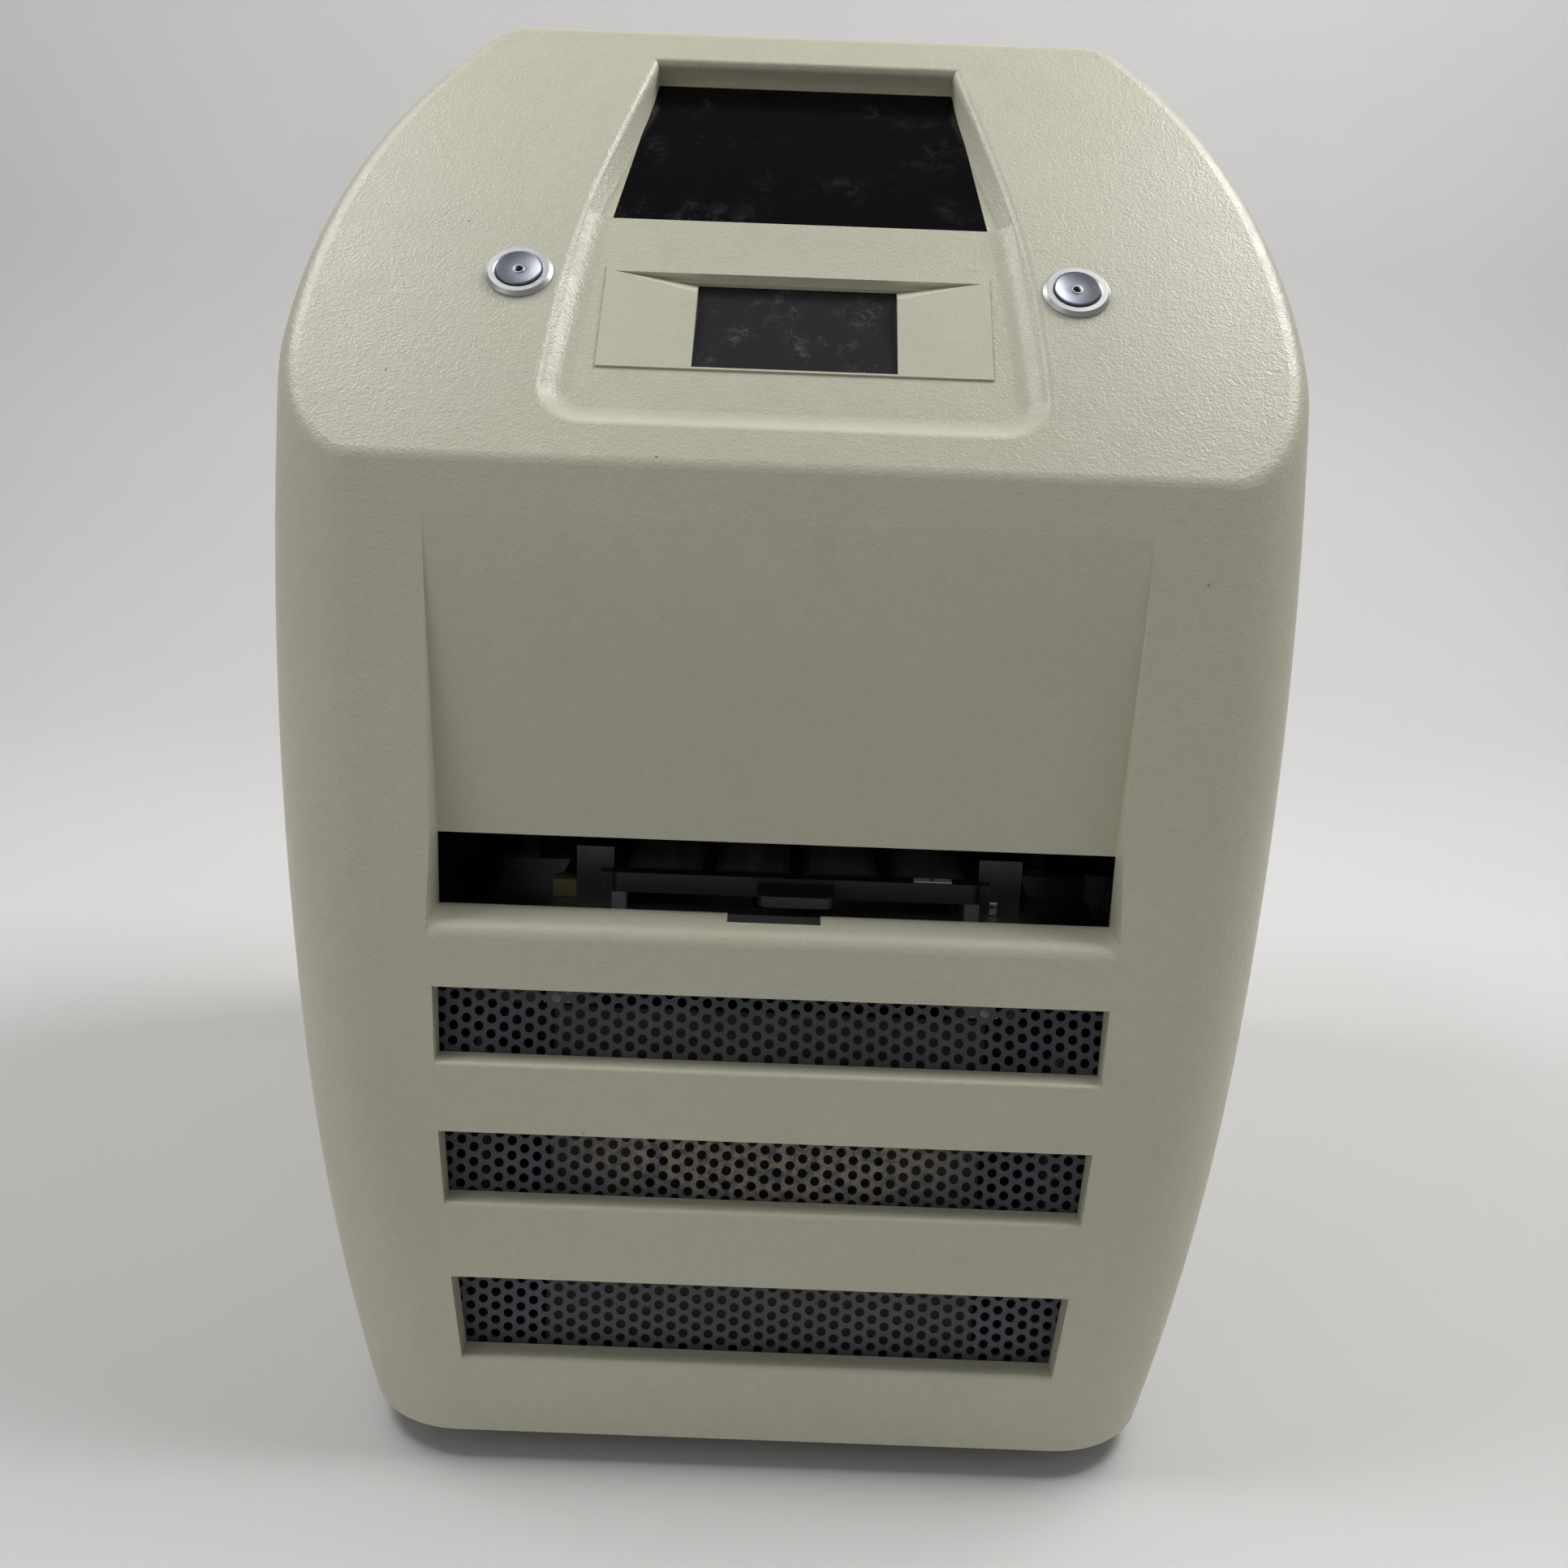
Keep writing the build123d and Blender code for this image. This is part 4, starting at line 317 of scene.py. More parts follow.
@dataclass(frozen=True)
class Moulding:
    """Moulded plastic, rubber or foam with a fine grain; waves are per metre."""

    CLOUD_WAVES = 9.0
    MOTTLE_WAVES = 260.0
    MOTTLE_SHADE = 0.86
    FILM_WAVES = 28.0
    FILM_SHADE = 0.55
    SPECK_WAVES = 95.0
    STREWN_WAVES = 31.0
    WEAR_WAVES = 70.0
    CREASE_SHARE = 0.45
    SAG_WAVES = 5.0
    SAG_DEPTH = 2.0 * MM

    name: str
    colour: Colour
    tint: Colour
    roughness: float = 0.5
    grain: Grain = Grain.SATIN
    grain_size: float = 0.8 * MM
    grain_height: float = 0.04 * MM
    specks: float = 0.0
    grime: float = 0.0
    gloss: float = 0.5

    def tone(self, graph: MaterialGraph) -> bpy.types.NodeSocket:
        """Colour with clouds, mottle, a film of grime and dark specks.

        Args:
            graph: Graph of the material.

        Returns:
            The colour.
        """
        cloud = graph.noise(self.CLOUD_WAVES, 4.0, 0.6)
        colour = graph.blend(graph.span(cloud, 0.3, 0.7), self.colour, self.tint)
        mottle = graph.span(graph.noise(self.MOTTLE_WAVES, 2.0), 0.35, 0.75, 0.0, 0.35)
        colour = graph.blend(mottle, colour, shaded(self.colour, self.MOTTLE_SHADE))
        if self.grime:
            smear = graph.noise(self.FILM_WAVES, 6.0, 0.7, twist=0.6)
            film = graph.span(smear, 0.56, 0.80, 0.0, self.grime)
            colour = graph.blend(film, colour, shaded(self.tint, self.FILM_SHADE))
        if self.specks:
            dot = graph.span(graph.cells(self.SPECK_WAVES), 0.030, 0.055, 1.0, 0.0)
            sparse = graph.span(graph.noise(self.STREWN_WAVES, 1.0), 0.60, 0.66)
            speck = graph.maths("MULTIPLY", graph.maths("MULTIPLY", dot, sparse), self.specks)
            colour = graph.blend(speck, colour, SPECK_COLOUR)
        return colour

    def texture(self, graph: MaterialGraph) -> bpy.types.NodeSocket:
        """Height of the grain.

        Args:
            graph: Graph of the material.

        Returns:
            The height value.
        """
        waves = 1.0 / self.grain_size
        if self.grain is Grain.LEATHER:
            pebble = graph.cells(waves, "SMOOTH_F1")
            crease = graph.noise(waves * self.CREASE_SHARE, 3.0, 0.6, twist=0.8)
            return graph.maths("ADD", graph.maths("MULTIPLY", pebble, 0.6), crease)
        if self.grain is Grain.SPONGE:
            return graph.cells(waves)
        return graph.noise(waves, 2.0)

    def make(self) -> bpy.types.Material:
        """Builds the material."""
        graph = MaterialGraph(self.name)
        colour = self.tone(graph)
        wear = graph.noise(self.WEAR_WAVES, 3.0)
        rough = graph.span(wear, 0.3, 0.7, self.roughness - 0.06, self.roughness + 0.07)
        sag = graph.relief(graph.noise(self.SAG_WAVES, 1.0), 0.06, self.SAG_DEPTH)
        normal = graph.relief(self.texture(graph), 0.8, self.grain_height, sag)
        graph.surface(
            base_color=colour, roughness=rough, normal=normal, specular_ior_level=self.gloss
        )
        return graph.material


@dataclass(frozen=True)
class Metal:
    """Metal with tool marks along one direction; waves are per metre."""

    CLOUD_WAVES = 22.0
    WORN_SHADE = 0.62
    MARK_DEPTH = 0.02 * MM

    name: str
    colour: Colour
    roughness: float = 0.32
    lay: Lay = Lay.NONE
    marks: float = 900.0
    metallic: float = 1.0
    tarnish: float = 0.25

    def make(self) -> bpy.types.Material:
        """Builds the material."""
        graph = MaterialGraph(self.name)
        along = graph.stretched(self.lay.value)
        streak = graph.noise(self.marks, 3.0, 0.6, along)
        cloud = graph.noise(self.CLOUD_WAVES, 5.0, 0.65)
        worn = graph.span(cloud, 0.35, 0.75, 0.0, self.tarnish)
        colour = graph.blend(worn, self.colour, shaded(self.colour, self.WORN_SHADE))
        rough = graph.span(streak, 0.3, 0.7, self.roughness - 0.07, self.roughness + 0.10)
        normal = graph.relief(streak, 0.35, self.MARK_DEPTH)
        graph.surface(
            base_color=colour, roughness=rough, normal=normal, metallic=self.metallic
        )
        return graph.material


@dataclass(frozen=True)
class Pane:
    """Clear or smoked glass or acrylic with dust and wiping marks; waves are per metre."""

    LINT_WAVES = 900.0
    STREWN_WAVES = 75.0
    REGION_SHARE = 0.28
    SMUDGE_WEIGHT = 0.5
    WIPED_STRETCH = (1.0, 1.0, 0.6)
    DUST_COLOUR = (0.42, 0.41, 0.40)

    name: str
    colour: Colour
    dust: float
    clear: float = 0.0
    gloss: float = 0.35
    smudge_size: float = 45.0

    def make(self) -> bpy.types.Material:
        """Builds the material."""
        graph = MaterialGraph(self.name)
        wiped = graph.noise(
            self.smudge_size, 8.0, 0.8, graph.stretched(self.WIPED_STRETCH), 0.4
        )
        region = graph.noise(self.smudge_size * self.REGION_SHARE, 2.0)
        patch = graph.maths(
            "MULTIPLY", graph.span(wiped, 0.50, 0.68), graph.span(region, 0.50, 0.68)
        )
        lint = graph.span(graph.cells(self.LINT_WAVES), 0.06, 0.16, 1.0, 0.0)
        sparse = graph.span(graph.noise(self.STREWN_WAVES, 2.0), 0.54, 0.66)
        smudge = graph.maths("MULTIPLY", patch, self.SMUDGE_WEIGHT)
        dirt = graph.maths("ADD", smudge, graph.maths("MULTIPLY", lint, sparse))
        dirt = graph.maths("MINIMUM", graph.maths("MULTIPLY", dirt, self.dust), 1.0)
        colour = graph.blend(dirt, self.colour, self.DUST_COLOUR)
        rough = graph.span(wiped, 0.4, 0.8, 0.10, 0.22)
        graph.surface(
            base_color=colour,
            roughness=rough,
            specular_ior_level=self.gloss,
            transmission_weight=self.clear,
        )
        return graph.material


@dataclass(frozen=True)
class PunchedSteel:
    """Dark coated steel sheet with settled dust round one place; waves are per metre."""

    STREAK_WAVES = 700.0
    CLOUD_WAVES = 40.0
    CLUMP_WAVES = 240.0
    COAT_WAVES = 1500.0
    COAT_DEPTH = 0.03 * MM
    PALE_SHADE = 1.35
    COAT_METALLIC = 0.25

    name: str
    colour: Colour
    dust_at: Point
    dust_reach: float
    dust_flat: float = 3.2

    def make(self) -> bpy.types.Material:
        """Builds the material."""
        graph = MaterialGraph(self.name)
        streak = graph.noise(self.STREAK_WAVES, 2.0, 0.5, graph.stretched(Lay.X.value))
        cloud = graph.span(graph.noise(self.CLOUD_WAVES, 4.0, 0.6), 0.3, 0.7)
        colour = graph.blend(cloud, self.colour, shaded(self.colour, self.PALE_SHADE))
        scale = 1.0 / self.dust_reach
        shift = tuple(-scale * c for c in self.dust_at)
        node = graph.tree.nodes.new("ShaderNodeTexGradient")
        node.gradient_type = "SPHERICAL"
        around = graph.stretched(
            (scale, scale, scale * self.dust_flat),
            (shift[0], shift[1], shift[2] * self.dust_flat),
        )
        graph.tree.links.new(around, node.inputs["Vector"])
        clump = graph.span(graph.noise(self.CLUMP_WAVES, 5.0, 0.75), 0.40, 0.56)
        fluff = graph.maths("MULTIPLY", graph.span(node.outputs["Fac"], 0.02, 0.45), clump)
        colour = graph.blend(fluff, colour, FLUFF_COLOUR)
        rough = graph.span(streak, 0.3, 0.7, 0.42, 0.58)
        normal = graph.relief(graph.noise(self.COAT_WAVES, 2.0), 0.3, self.COAT_DEPTH)
        graph.surface(
            base_color=colour, roughness=rough, normal=normal, metallic=self.COAT_METALLIC
        )
        return graph.material


IVORY: Colour = (0.600, 0.580, 0.450)
IVORY_TINT: Colour = (0.572, 0.555, 0.436)
STEEL_GREY: Colour = (0.60, 0.60, 0.60)

SHELL = Moulding(
    "ivory_moulding", IVORY, IVORY_TINT, 0.36, Grain.LEATHER,
    grain_size=0.9 * MM, grain_height=0.24 * MM, specks=0.60, grime=0.10,
)
INSERT = Moulding(
    "ivory_insert", IVORY, IVORY_TINT, 0.40, Grain.LEATHER,
    grain_size=0.7 * MM, grain_height=0.10 * MM, specks=0.5, grime=0.06,
)
RUBBER = Moulding(
    "black_rubber", (0.020, 0.020, 0.021), (0.028, 0.027, 0.026), 0.72, grain_size=0.6 * MM
)
SEAL = Moulding(
    "seal_rubber", (0.030, 0.029, 0.027), (0.045, 0.043, 0.040), 0.7, grain_size=0.4 * MM
)
FOAM = Moulding(
    "filter_foam", (0.045, 0.044, 0.042), (0.060, 0.056, 0.050), 0.9, Grain.SPONGE,
    grain_size=1.3 * MM, grain_height=0.5 * MM,
)
OLIVE = Moulding(
    "olive_moulding", (0.105, 0.095, 0.055), (0.085, 0.078, 0.048), 0.6, grain_size=0.7 * MM
)
BLACK = Moulding(
    "black_moulding", (0.018, 0.018, 0.019), (0.026, 0.026, 0.027), 0.42, grain_size=0.5 * MM
)
LABEL = Moulding(
    "white_label", (0.72, 0.72, 0.70), (0.66, 0.66, 0.63), 0.5,
    grain_size=0.3 * MM, grain_height=0.01 * MM,
)
BOARD = Moulding(
    "solder_mask", (0.012, 0.075, 0.030), (0.010, 0.060, 0.026), 0.3, grain_size=1.2 * MM
)
GRAPHITE = Moulding(
    "graphite_coat", (0.030, 0.030, 0.033), (0.040, 0.040, 0.043), 0.5, grain_size=0.5 * MM
)
TAN = Moulding("tan_block", (0.20, 0.17, 0.075), (0.16, 0.135, 0.06), 0.6, grain_size=0.8 * MM)
SMOKED = Pane("smoked_acrylic", (0.0022, 0.0020, 0.0030), 0.13, gloss=0.08, smudge_size=120.0)
DISPLAY = Pane("display_glass", (0.026, 0.024, 0.027), 0.55, gloss=0.2, smudge_size=240.0)
CLEAR = Pane("slide_glass", (0.80, 0.88, 0.86), 0.05, clear=0.85, gloss=0.5)
LAMP = Pane("lamp_lens", (0.006, 0.006, 0.008), 0.05, gloss=0.4)
SCREEN = PunchedSteel(
    "coated_sheet", (0.058, 0.062, 0.073), dust_at=(0.0, -0.19, 0.104), dust_reach=0.075
)
PLATE = Metal("zinc_plate", (0.52, 0.53, 0.54), 0.40, Lay.Y, marks=500.0)
BRIGHT = Metal("bright_fixing", (0.66, 0.65, 0.62), 0.25)
RAIL = Metal("ground_steel", STEEL_GREY, 0.20, Lay.Y, marks=1400.0)
CROSS_RAIL = Metal("ground_steel_cross", STEEL_GREY, 0.20, Lay.X, marks=1400.0)
ALLOY = Metal("blasted_alloy", (0.42, 0.42, 0.43), 0.45, marks=1600.0)
DARK_ALLOY = Metal("black_anodised", (0.055, 0.055, 0.058), 0.42, marks=1500.0, metallic=0.8)
TRAY_METAL = Metal(
    "grey_anodised", (0.075, 0.075, 0.080), 0.46, Lay.X, marks=1100.0, metallic=0.85
)
GUIDE = Metal("dark_steel", (0.10, 0.10, 0.105), 0.40, Lay.Z, marks=900.0, metallic=0.9)
PANEL = Metal("panel_metal", (0.36, 0.36, 0.37), 0.42, Lay.X, marks=800.0, metallic=0.9)
BEZEL_STEEL = Metal("satin_stainless", (0.60, 0.60, 0.61), 0.38, marks=2600.0, tarnish=0.12)
CAP_STEEL = Metal("blued_stainless", (0.27, 0.285, 0.325), 0.40, marks=2600.0, tarnish=0.15)


def dress(nodes: Nodes, finish: Finish, *names: str) -> None:
    """Gives a finish to CAD nodes.

    Args:
        nodes: The frame's nodes.
        finish: A finish with a make method.
        names: Names of the nodes.
    """
    material = finish.make()
    for name in names:
        mesh = nodes[name].data
        mesh.materials.clear()
        mesh.materials.append(material)


# ---------------------------------------------------------------- modelling bench
class Workbench:
    """Modelling steps shared by the new pieces."""

    ROUNDING_STEPS = 2

    @staticmethod
    def clear() -> None:
        """Leaves edit mode and deselects everything."""
        if bpy.context.object and bpy.context.object.mode != "OBJECT":
            bpy.ops.object.mode_set(mode="OBJECT")
        bpy.ops.object.select_all(action="DESELECT")

    @staticmethod
    def edit() -> None:
        """Enters edit mode with all of the active mesh selected."""
        bpy.ops.object.mode_set(mode="EDIT")
        bpy.ops.mesh.select_all(action="SELECT")

    @staticmethod
    def pick(obj: bpy.types.Object, test: Callable[[Vector], bool]) -> None:
        """Selects the vertices whose place passes a test.

        Args:
            obj: Mesh object in edit mode.
            test: Function of a place that returns True to select.
        """
        bpy.ops.mesh.select_all(action="DESELECT")
        bpy.ops.mesh.select_mode(type="VERT")
        bpy.ops.object.mode_set(mode="OBJECT")
        for vertex in obj.data.vertices:
            vertex.select = bool(test(vertex.co))
        bpy.ops.object.mode_set(mode="EDIT")

    @staticmethod
    def apply(obj: bpy.types.Object) -> None:
        """Applies every modifier of the object."""
        Workbench.clear()
        obj.select_set(True)
        bpy.context.view_layer.objects.active = obj
        for modifier in list(obj.modifiers):
            bpy.ops.object.modifier_apply(modifier=modifier.name)

    @staticmethod
    def settle(
        obj: bpy.types.Object,
        name: str,
        finish: Finish,
        body: str,
        slot: str,
        angle: float = 35.0,
    ) -> None:
        """Names a finished piece, puts its place into its mesh and gives it its finish and body.

        Args:
            obj: The piece.
            name: Its name.
            finish: A finish with a make method.
            body: Body that it rides on.
            slot: Not used.
            angle: Edges flatter than this are shaded smooth, in degrees.
        """
        Workbench.clear()
        obj.select_set(True)
        bpy.context.view_layer.objects.active = obj
        bpy.ops.object.transform_apply(location=True, rotation=True, scale=True)
        bpy.ops.object.shade_smooth_by_angle(angle=math.radians(angle))
        obj.name = name
        obj.data.name = name
        obj.data.materials.clear()
        obj.data.materials.append(finish.make())
        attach(obj, body)
        LOG.info("piece %s: %d faces", name, len(obj.data.polygons))

    @staticmethod
    def turned(profile: list[tuple[float, float]], sides: int) -> bpy.types.Object:
        """Turned piece about Z, drawn up ring by ring from its foot.

        Args:
            profile: Radius and height of each ring, from the foot up.
            sides: Sides of each ring.

        Returns:
            The piece, closed at foot and head.
        """
        Workbench.clear()
        radius, height = profile[0]
        bpy.ops.mesh.primitive_circle_add(
            vertices=sides, radius=radius, fill_type="NGON", location=(0, 0, height)
        )
        obj = bpy.context.object
        bpy.ops.object.transform_apply(location=True, rotation=False, scale=False)
        Workbench.edit()
        for next_radius, next_height in profile[1:]:
            rise = (0, 0, next_height - height)
            bpy.ops.mesh.extrude_region_move(TRANSFORM_OT_translate={"value": rise})
            factor = next_radius / radius
            bpy.ops.transform.resize(
                value=(factor, factor, 1.0), center_override=(0, 0, next_height)
            )
            radius, height = next_radius, next_height
        bpy.ops.mesh.select_all(action="SELECT")
        bpy.ops.mesh.normals_make_consistent(inside=False)
        bpy.ops.object.mode_set(mode="OBJECT")
        return obj

    @staticmethod
    def slab(low: Point, high: Point, rounding: float) -> bpy.types.Object:
        """Box between two corners with rounded edges.

        Args:
            low: Lowest corner.
            high: Highest corner.
            rounding: Radius of the edges.

        Returns:
            The piece.
        """
        Workbench.clear()
        centre = [(a + b) / 2 for a, b in zip(low, high)]
        bpy.ops.mesh.primitive_cube_add(size=1.0, location=centre)
        obj = bpy.context.object
        obj.scale = [b - a for a, b in zip(low, high)]
        bpy.ops.object.transform_apply(location=True, rotation=True, scale=True)
        Workbench.edit()
        bpy.ops.mesh.bevel(
            offset=rounding, segments=Workbench.ROUNDING_STEPS, affect="EDGES"
        )
        bpy.ops.object.mode_set(mode="OBJECT")
        return obj


# ---------------------------------------------------------------- sub-assemblies
@dataclass
class Covers:
    """The two moulded covers and the seal between them."""

    nodes: Nodes

    def build(self) -> None:
        """Dresses the covers."""
        dress(self.nodes, SHELL, "front_cover", "rear_cover")
        dress(self.nodes, SEAL, "cover_seal")


@dataclass
class VentScreen:
    """Punched sheet behind the vents; its holes stand in staggered upright columns."""

    STAND_OFF = 30 * MM
    CORNER_STEP = 30.0
    RIM_SHARE = 0.9
    MERGE = 0.02 * MM
    CUT = 0.001 * MM

    nodes: Nodes
    pitch: float = 4.7625 * MM
    hole: float = 1.5875 * MM
    thickness: float = 1.0 * MM
    corners: int = 12

    def cell(self, x: float, z: float) -> bpy.types.Object:
        """One hexagonal cell with its round hole.

        Args:
            x: Centre of the cell.
            z: Centre of the cell.

        Returns:
            The cell in front of the sheet.
        """
        Workbench.clear()
        centre = (x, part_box("perforated_screen")[0].y - self.STAND_OFF, z)
        bpy.ops.mesh.primitive_circle_add(
            vertices=self.corners,
            radius=self.hole,
            location=centre,
            rotation=(math.pi / 2, 0, 0),
        )
        obj = bpy.context.object
        bpy.ops.object.transform_apply(location=True, rotation=True, scale=True)
        Workbench.edit()
        bpy.ops.mesh.extrude_edges_move(TRANSFORM_OT_translate={"value": (0, 0, 0)})
        reach = self.pitch / math.sqrt(3)
        grow = reach / self.hole
        bpy.ops.transform.resize(value=(grow, grow, grow), center_override=centre)
        flat = math.cos(math.radians(self.CORNER_STEP))

        def between_corners(place: Vector) -> bool:
            angle = math.degrees(math.atan2(place.z - z, place.x - x))
            far = math.hypot(place.x - x, place.z - z) > self.RIM_SHARE * reach
            return far and round(angle / self.CORNER_STEP) % 2 == 1

        Workbench.pick(obj, between_corners)
        bpy.ops.transform.resize(value=(flat, flat, flat), center_override=centre)
        bpy.ops.object.mode_set(mode="OBJECT")
        return obj

    def repeat(self, obj: bpy.types.Object, step: Point, count: int) -> None:
        """Adds an array with joined borders.

        Args:
            obj: The piece.
            step: Offset of each copy.
            count: How many copies in all.
        """
        array = obj.modifiers.new("array", "ARRAY")
        array.use_relative_offset = False
        array.use_constant_offset = True
        array.constant_offset_displace = step
        array.count = count
        array.use_merge_vertices = True
        array.merge_threshold = self.MERGE

    def build(self) -> None:
        """Makes the punched sheet in place of the plain one."""
        low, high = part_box("perforated_screen")
        column = self.pitch * math.sqrt(3) / 2
        columns = math.ceil((high.x - low.x) / (2 * column)) + 1
        rows = math.ceil((high.z - low.z) / self.pitch) + 2
        obj = self.cell(-columns * column, low.z - self.pitch / 2)
        self.repeat(obj, (column, 0.0, self.pitch / 2), 2)
        self.repeat(obj, (2 * column, 0.0, 0.0), columns)
        self.repeat(obj, (0.0, 0.0, self.pitch), rows)
        Workbench.apply(obj)
        Workbench.edit()
        for place, normal in (
            ((low.x, 0, 0), (-1, 0, 0)),
            ((high.x, 0, 0), (1, 0, 0)),
            ((0, 0, low.z), (0, 0, -1)),
            ((0, 0, high.z), (0, 0, 1)),
        ):
            bpy.ops.mesh.select_all(action="SELECT")
            bpy.ops.mesh.bisect(
                plane_co=place, plane_no=normal, clear_outer=True, threshold=self.CUT
            )
        bpy.ops.object.mode_set(mode="OBJECT")
        wrap = obj.modifiers.new("wrap", "SHRINKWRAP")
        wrap.target = self.nodes["perforated_screen"]
        wrap.wrap_method = "PROJECT"
        wrap.use_project_y = True
        wrap.use_negative_direction = False
        wrap.use_positive_direction = True
        solid = obj.modifiers.new("sheet", "SOLIDIFY")
        solid.thickness = self.thickness
        solid.offset = 1.0
        Workbench.apply(obj)
        Workbench.edit()
        bpy.ops.mesh.normals_make_consistent(inside=False)
        bpy.ops.object.mode_set(mode="OBJECT")
        Workbench.settle(obj, "vent_screen", SCREEN, "root", "screen_steel")
        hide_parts("perforated_screen")


@dataclass
class DisplayWell:
    """Window and display set in the sloping well."""

    nodes: Nodes

    def build(self) -> None:
        """Dresses the window, the insert and the display."""
        dress(self.nodes, SMOKED, "viewing_window")
        dress(self.nodes, INSERT, "display_bezel")
        dress(self.nodes, DISPLAY, "display_glass")
        dress(self.nodes, BOARD, "display_module")


@dataclass
class PushButtons:
    """Two steel push buttons with a pilot lamp in the cap."""

    LAMP_SIDES = 32
    RING_SIDES = 40
    LINE_SIDES = 64
    LAMP_DEPTH = 1.2 * MM
    RING_DEPTH = 1.0 * MM
    RING_BEVEL = 0.12 * MM
    SEAT = 1.6 * MM
    LINE_SHARE = 0.963
    MERGE = 0.005 * MM

    nodes: Nodes
    joints: tuple
    lamp_radius: float = 1.4 * MM
    ring_radius: float = 2.05 * MM
    proud: float = 0.2 * MM
    cap_radius: float = 8.0 * MM
    dish_radius: float = 2.5 * MM
    line: float = 0.35 * MM

    def reach(self, node: str, outward: Vector, inside: float) -> float:
        """Reach of a node along the button's axis, within a radius of it.

        Args:
            node: Name of the node.
            outward: Unit vector out of the cap.
            inside: Radius in metres.

        Returns:
            Reach from the origin in metres.
        """
        low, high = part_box(node)
        middle = (low + high) / 2
        found = []
        for vertex in self.nodes[node].data.vertices:
            away = vertex.co - middle
            if (away - outward * away.dot(outward)).length < inside:
                found.append(vertex.co.dot(outward))
        return max(found)

    def axis_of(self, side: str) -> tuple[Vector, Vector]:
        """Place and direction of a cap.

        Args:
            side: left or right.

        Returns:
            Middle of the cap's dish and the unit vector out of it.
        """
        joints = {joint["name"]: joint for joint in self.joints}
        outward = -Vector(joints[f"{side}_button"]["axis"]).normalized()
        cap = f"{side}_button_cap"
        low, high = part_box(cap)
        middle = (low + high) / 2
        reach = self.reach(cap, outward, self.dish_radius)
        return middle + outward * (reach - middle.dot(outward)), outward

    def pilot_lamp(self, side: str, place: Matrix) -> None:
        """Lens in the middle of the cap.

        Args:
            side: left or right.
            place: Middle of the dish, Z out of it.
        """
        lamp = Workbench.turned(
            [
                (self.lamp_radius, -self.LAMP_DEPTH),
                (self.lamp_radius, self.proud * 0.6),
                (self.lamp_radius * 0.85, self.proud),
                (self.lamp_radius * 0.4, self.proud * 1.3),
            ],
            self.LAMP_SIDES,
        )
        lamp.matrix_world = place
        Workbench.settle(lamp, f"{side}_pilot_lamp", LAMP, f"{side}_button", "display_glass")

    def lamp_ring(self, side: str, place: Matrix) -> None:
        """Thin bright ring round the lens.

        Args:
            side: left or right.
            place: Middle of the dish, Z out of it.
        """
        ring = Workbench.turned(
            [
                (self.ring_radius, -self.RING_DEPTH),
                (self.ring_radius, 0.0),
                (self.ring_radius - self.RING_BEVEL, self.proud * 0.6),
                (self.lamp_radius + self.RING_BEVEL, self.proud * 0.7),
                (self.lamp_radius, 0.0),
            ],
            self.RING_SIDES,
        )
        ring.matrix_world = place
        Workbench.settle(
            ring, f"{side}_lamp_ring", BEZEL_STEEL, f"{side}_button", "button_steel"
        )

    def painted_shadow_ring(self, side: str, place: Matrix) -> None:
        """Dark open ring round the cap, painted shadow for the shade in the groove between cap
        and bezel.

        Args:
            side: left or right.
            place: Centre of the ring's upper rim, Z out of the cap.
        """
        Workbench.clear()
        bpy.ops.mesh.primitive_circle_add(
            vertices=self.LINE_SIDES, radius=self.cap_radius + self.line, fill_type="NOTHING"
        )
        ring = bpy.context.object
        Workbench.edit()
        share, proud = self.LINE_SHARE, 0.01 * MM
        for scale, rise in (
            (1.0, -self.line),
            (share, 0.0),
            (1.0, self.line + proud),
            (1.0 / share, -proud),
        ):
            bpy.ops.mesh.extrude_region_move(TRANSFORM_OT_translate={"value": (0, 0, rise)})
            bpy.ops.transform.resize(value=(scale, scale, 1.0), center_override=(0, 0, 0))
        bpy.ops.mesh.select_all(action="SELECT")
        bpy.ops.mesh.remove_doubles(threshold=self.MERGE)
        bpy.ops.mesh.normals_make_consistent(inside=False)
        bpy.ops.object.mode_set(mode="OBJECT")
        ring.matrix_world = place
        # The dark rubber finish on this ring is painted shadow for the groove round the cap, not
        # a real seal.
        Workbench.settle(ring, f"{side}_cap_groove_shadow", RUBBER, "root", "seal")

    def build(self) -> None:
        """Dresses the switches and adds lamp, ring and a dark painted-shadow ring in the cap's
        groove to each.
        """
        dress(self.nodes, BEZEL_STEEL, "left_button_housing", "right_button_housing")
        dress(self.nodes, CAP_STEEL, "left_button_cap", "right_button_cap")
        dress(self.nodes, BRIGHT, "button_nuts")
        for side in ("left", "right"):
            dish, outward = self.axis_of(side)
            turn = outward.to_track_quat("Z", "Y").to_matrix().to_4x4()
            place = Matrix.Translation(dish) @ turn
            self.pilot_lamp(side, place)
            self.lamp_ring(side, place)
            face = self.reach(f"{side}_button_housing", outward, self.cap_radius + self.SEAT)
            edge = dish + outward * (face - self.line - dish.dot(outward))
            # Dark ring set in the groove round the cap: painted shadow, not a real part.
            self.painted_shadow_ring(side, Matrix.Translation(edge) @ turn)


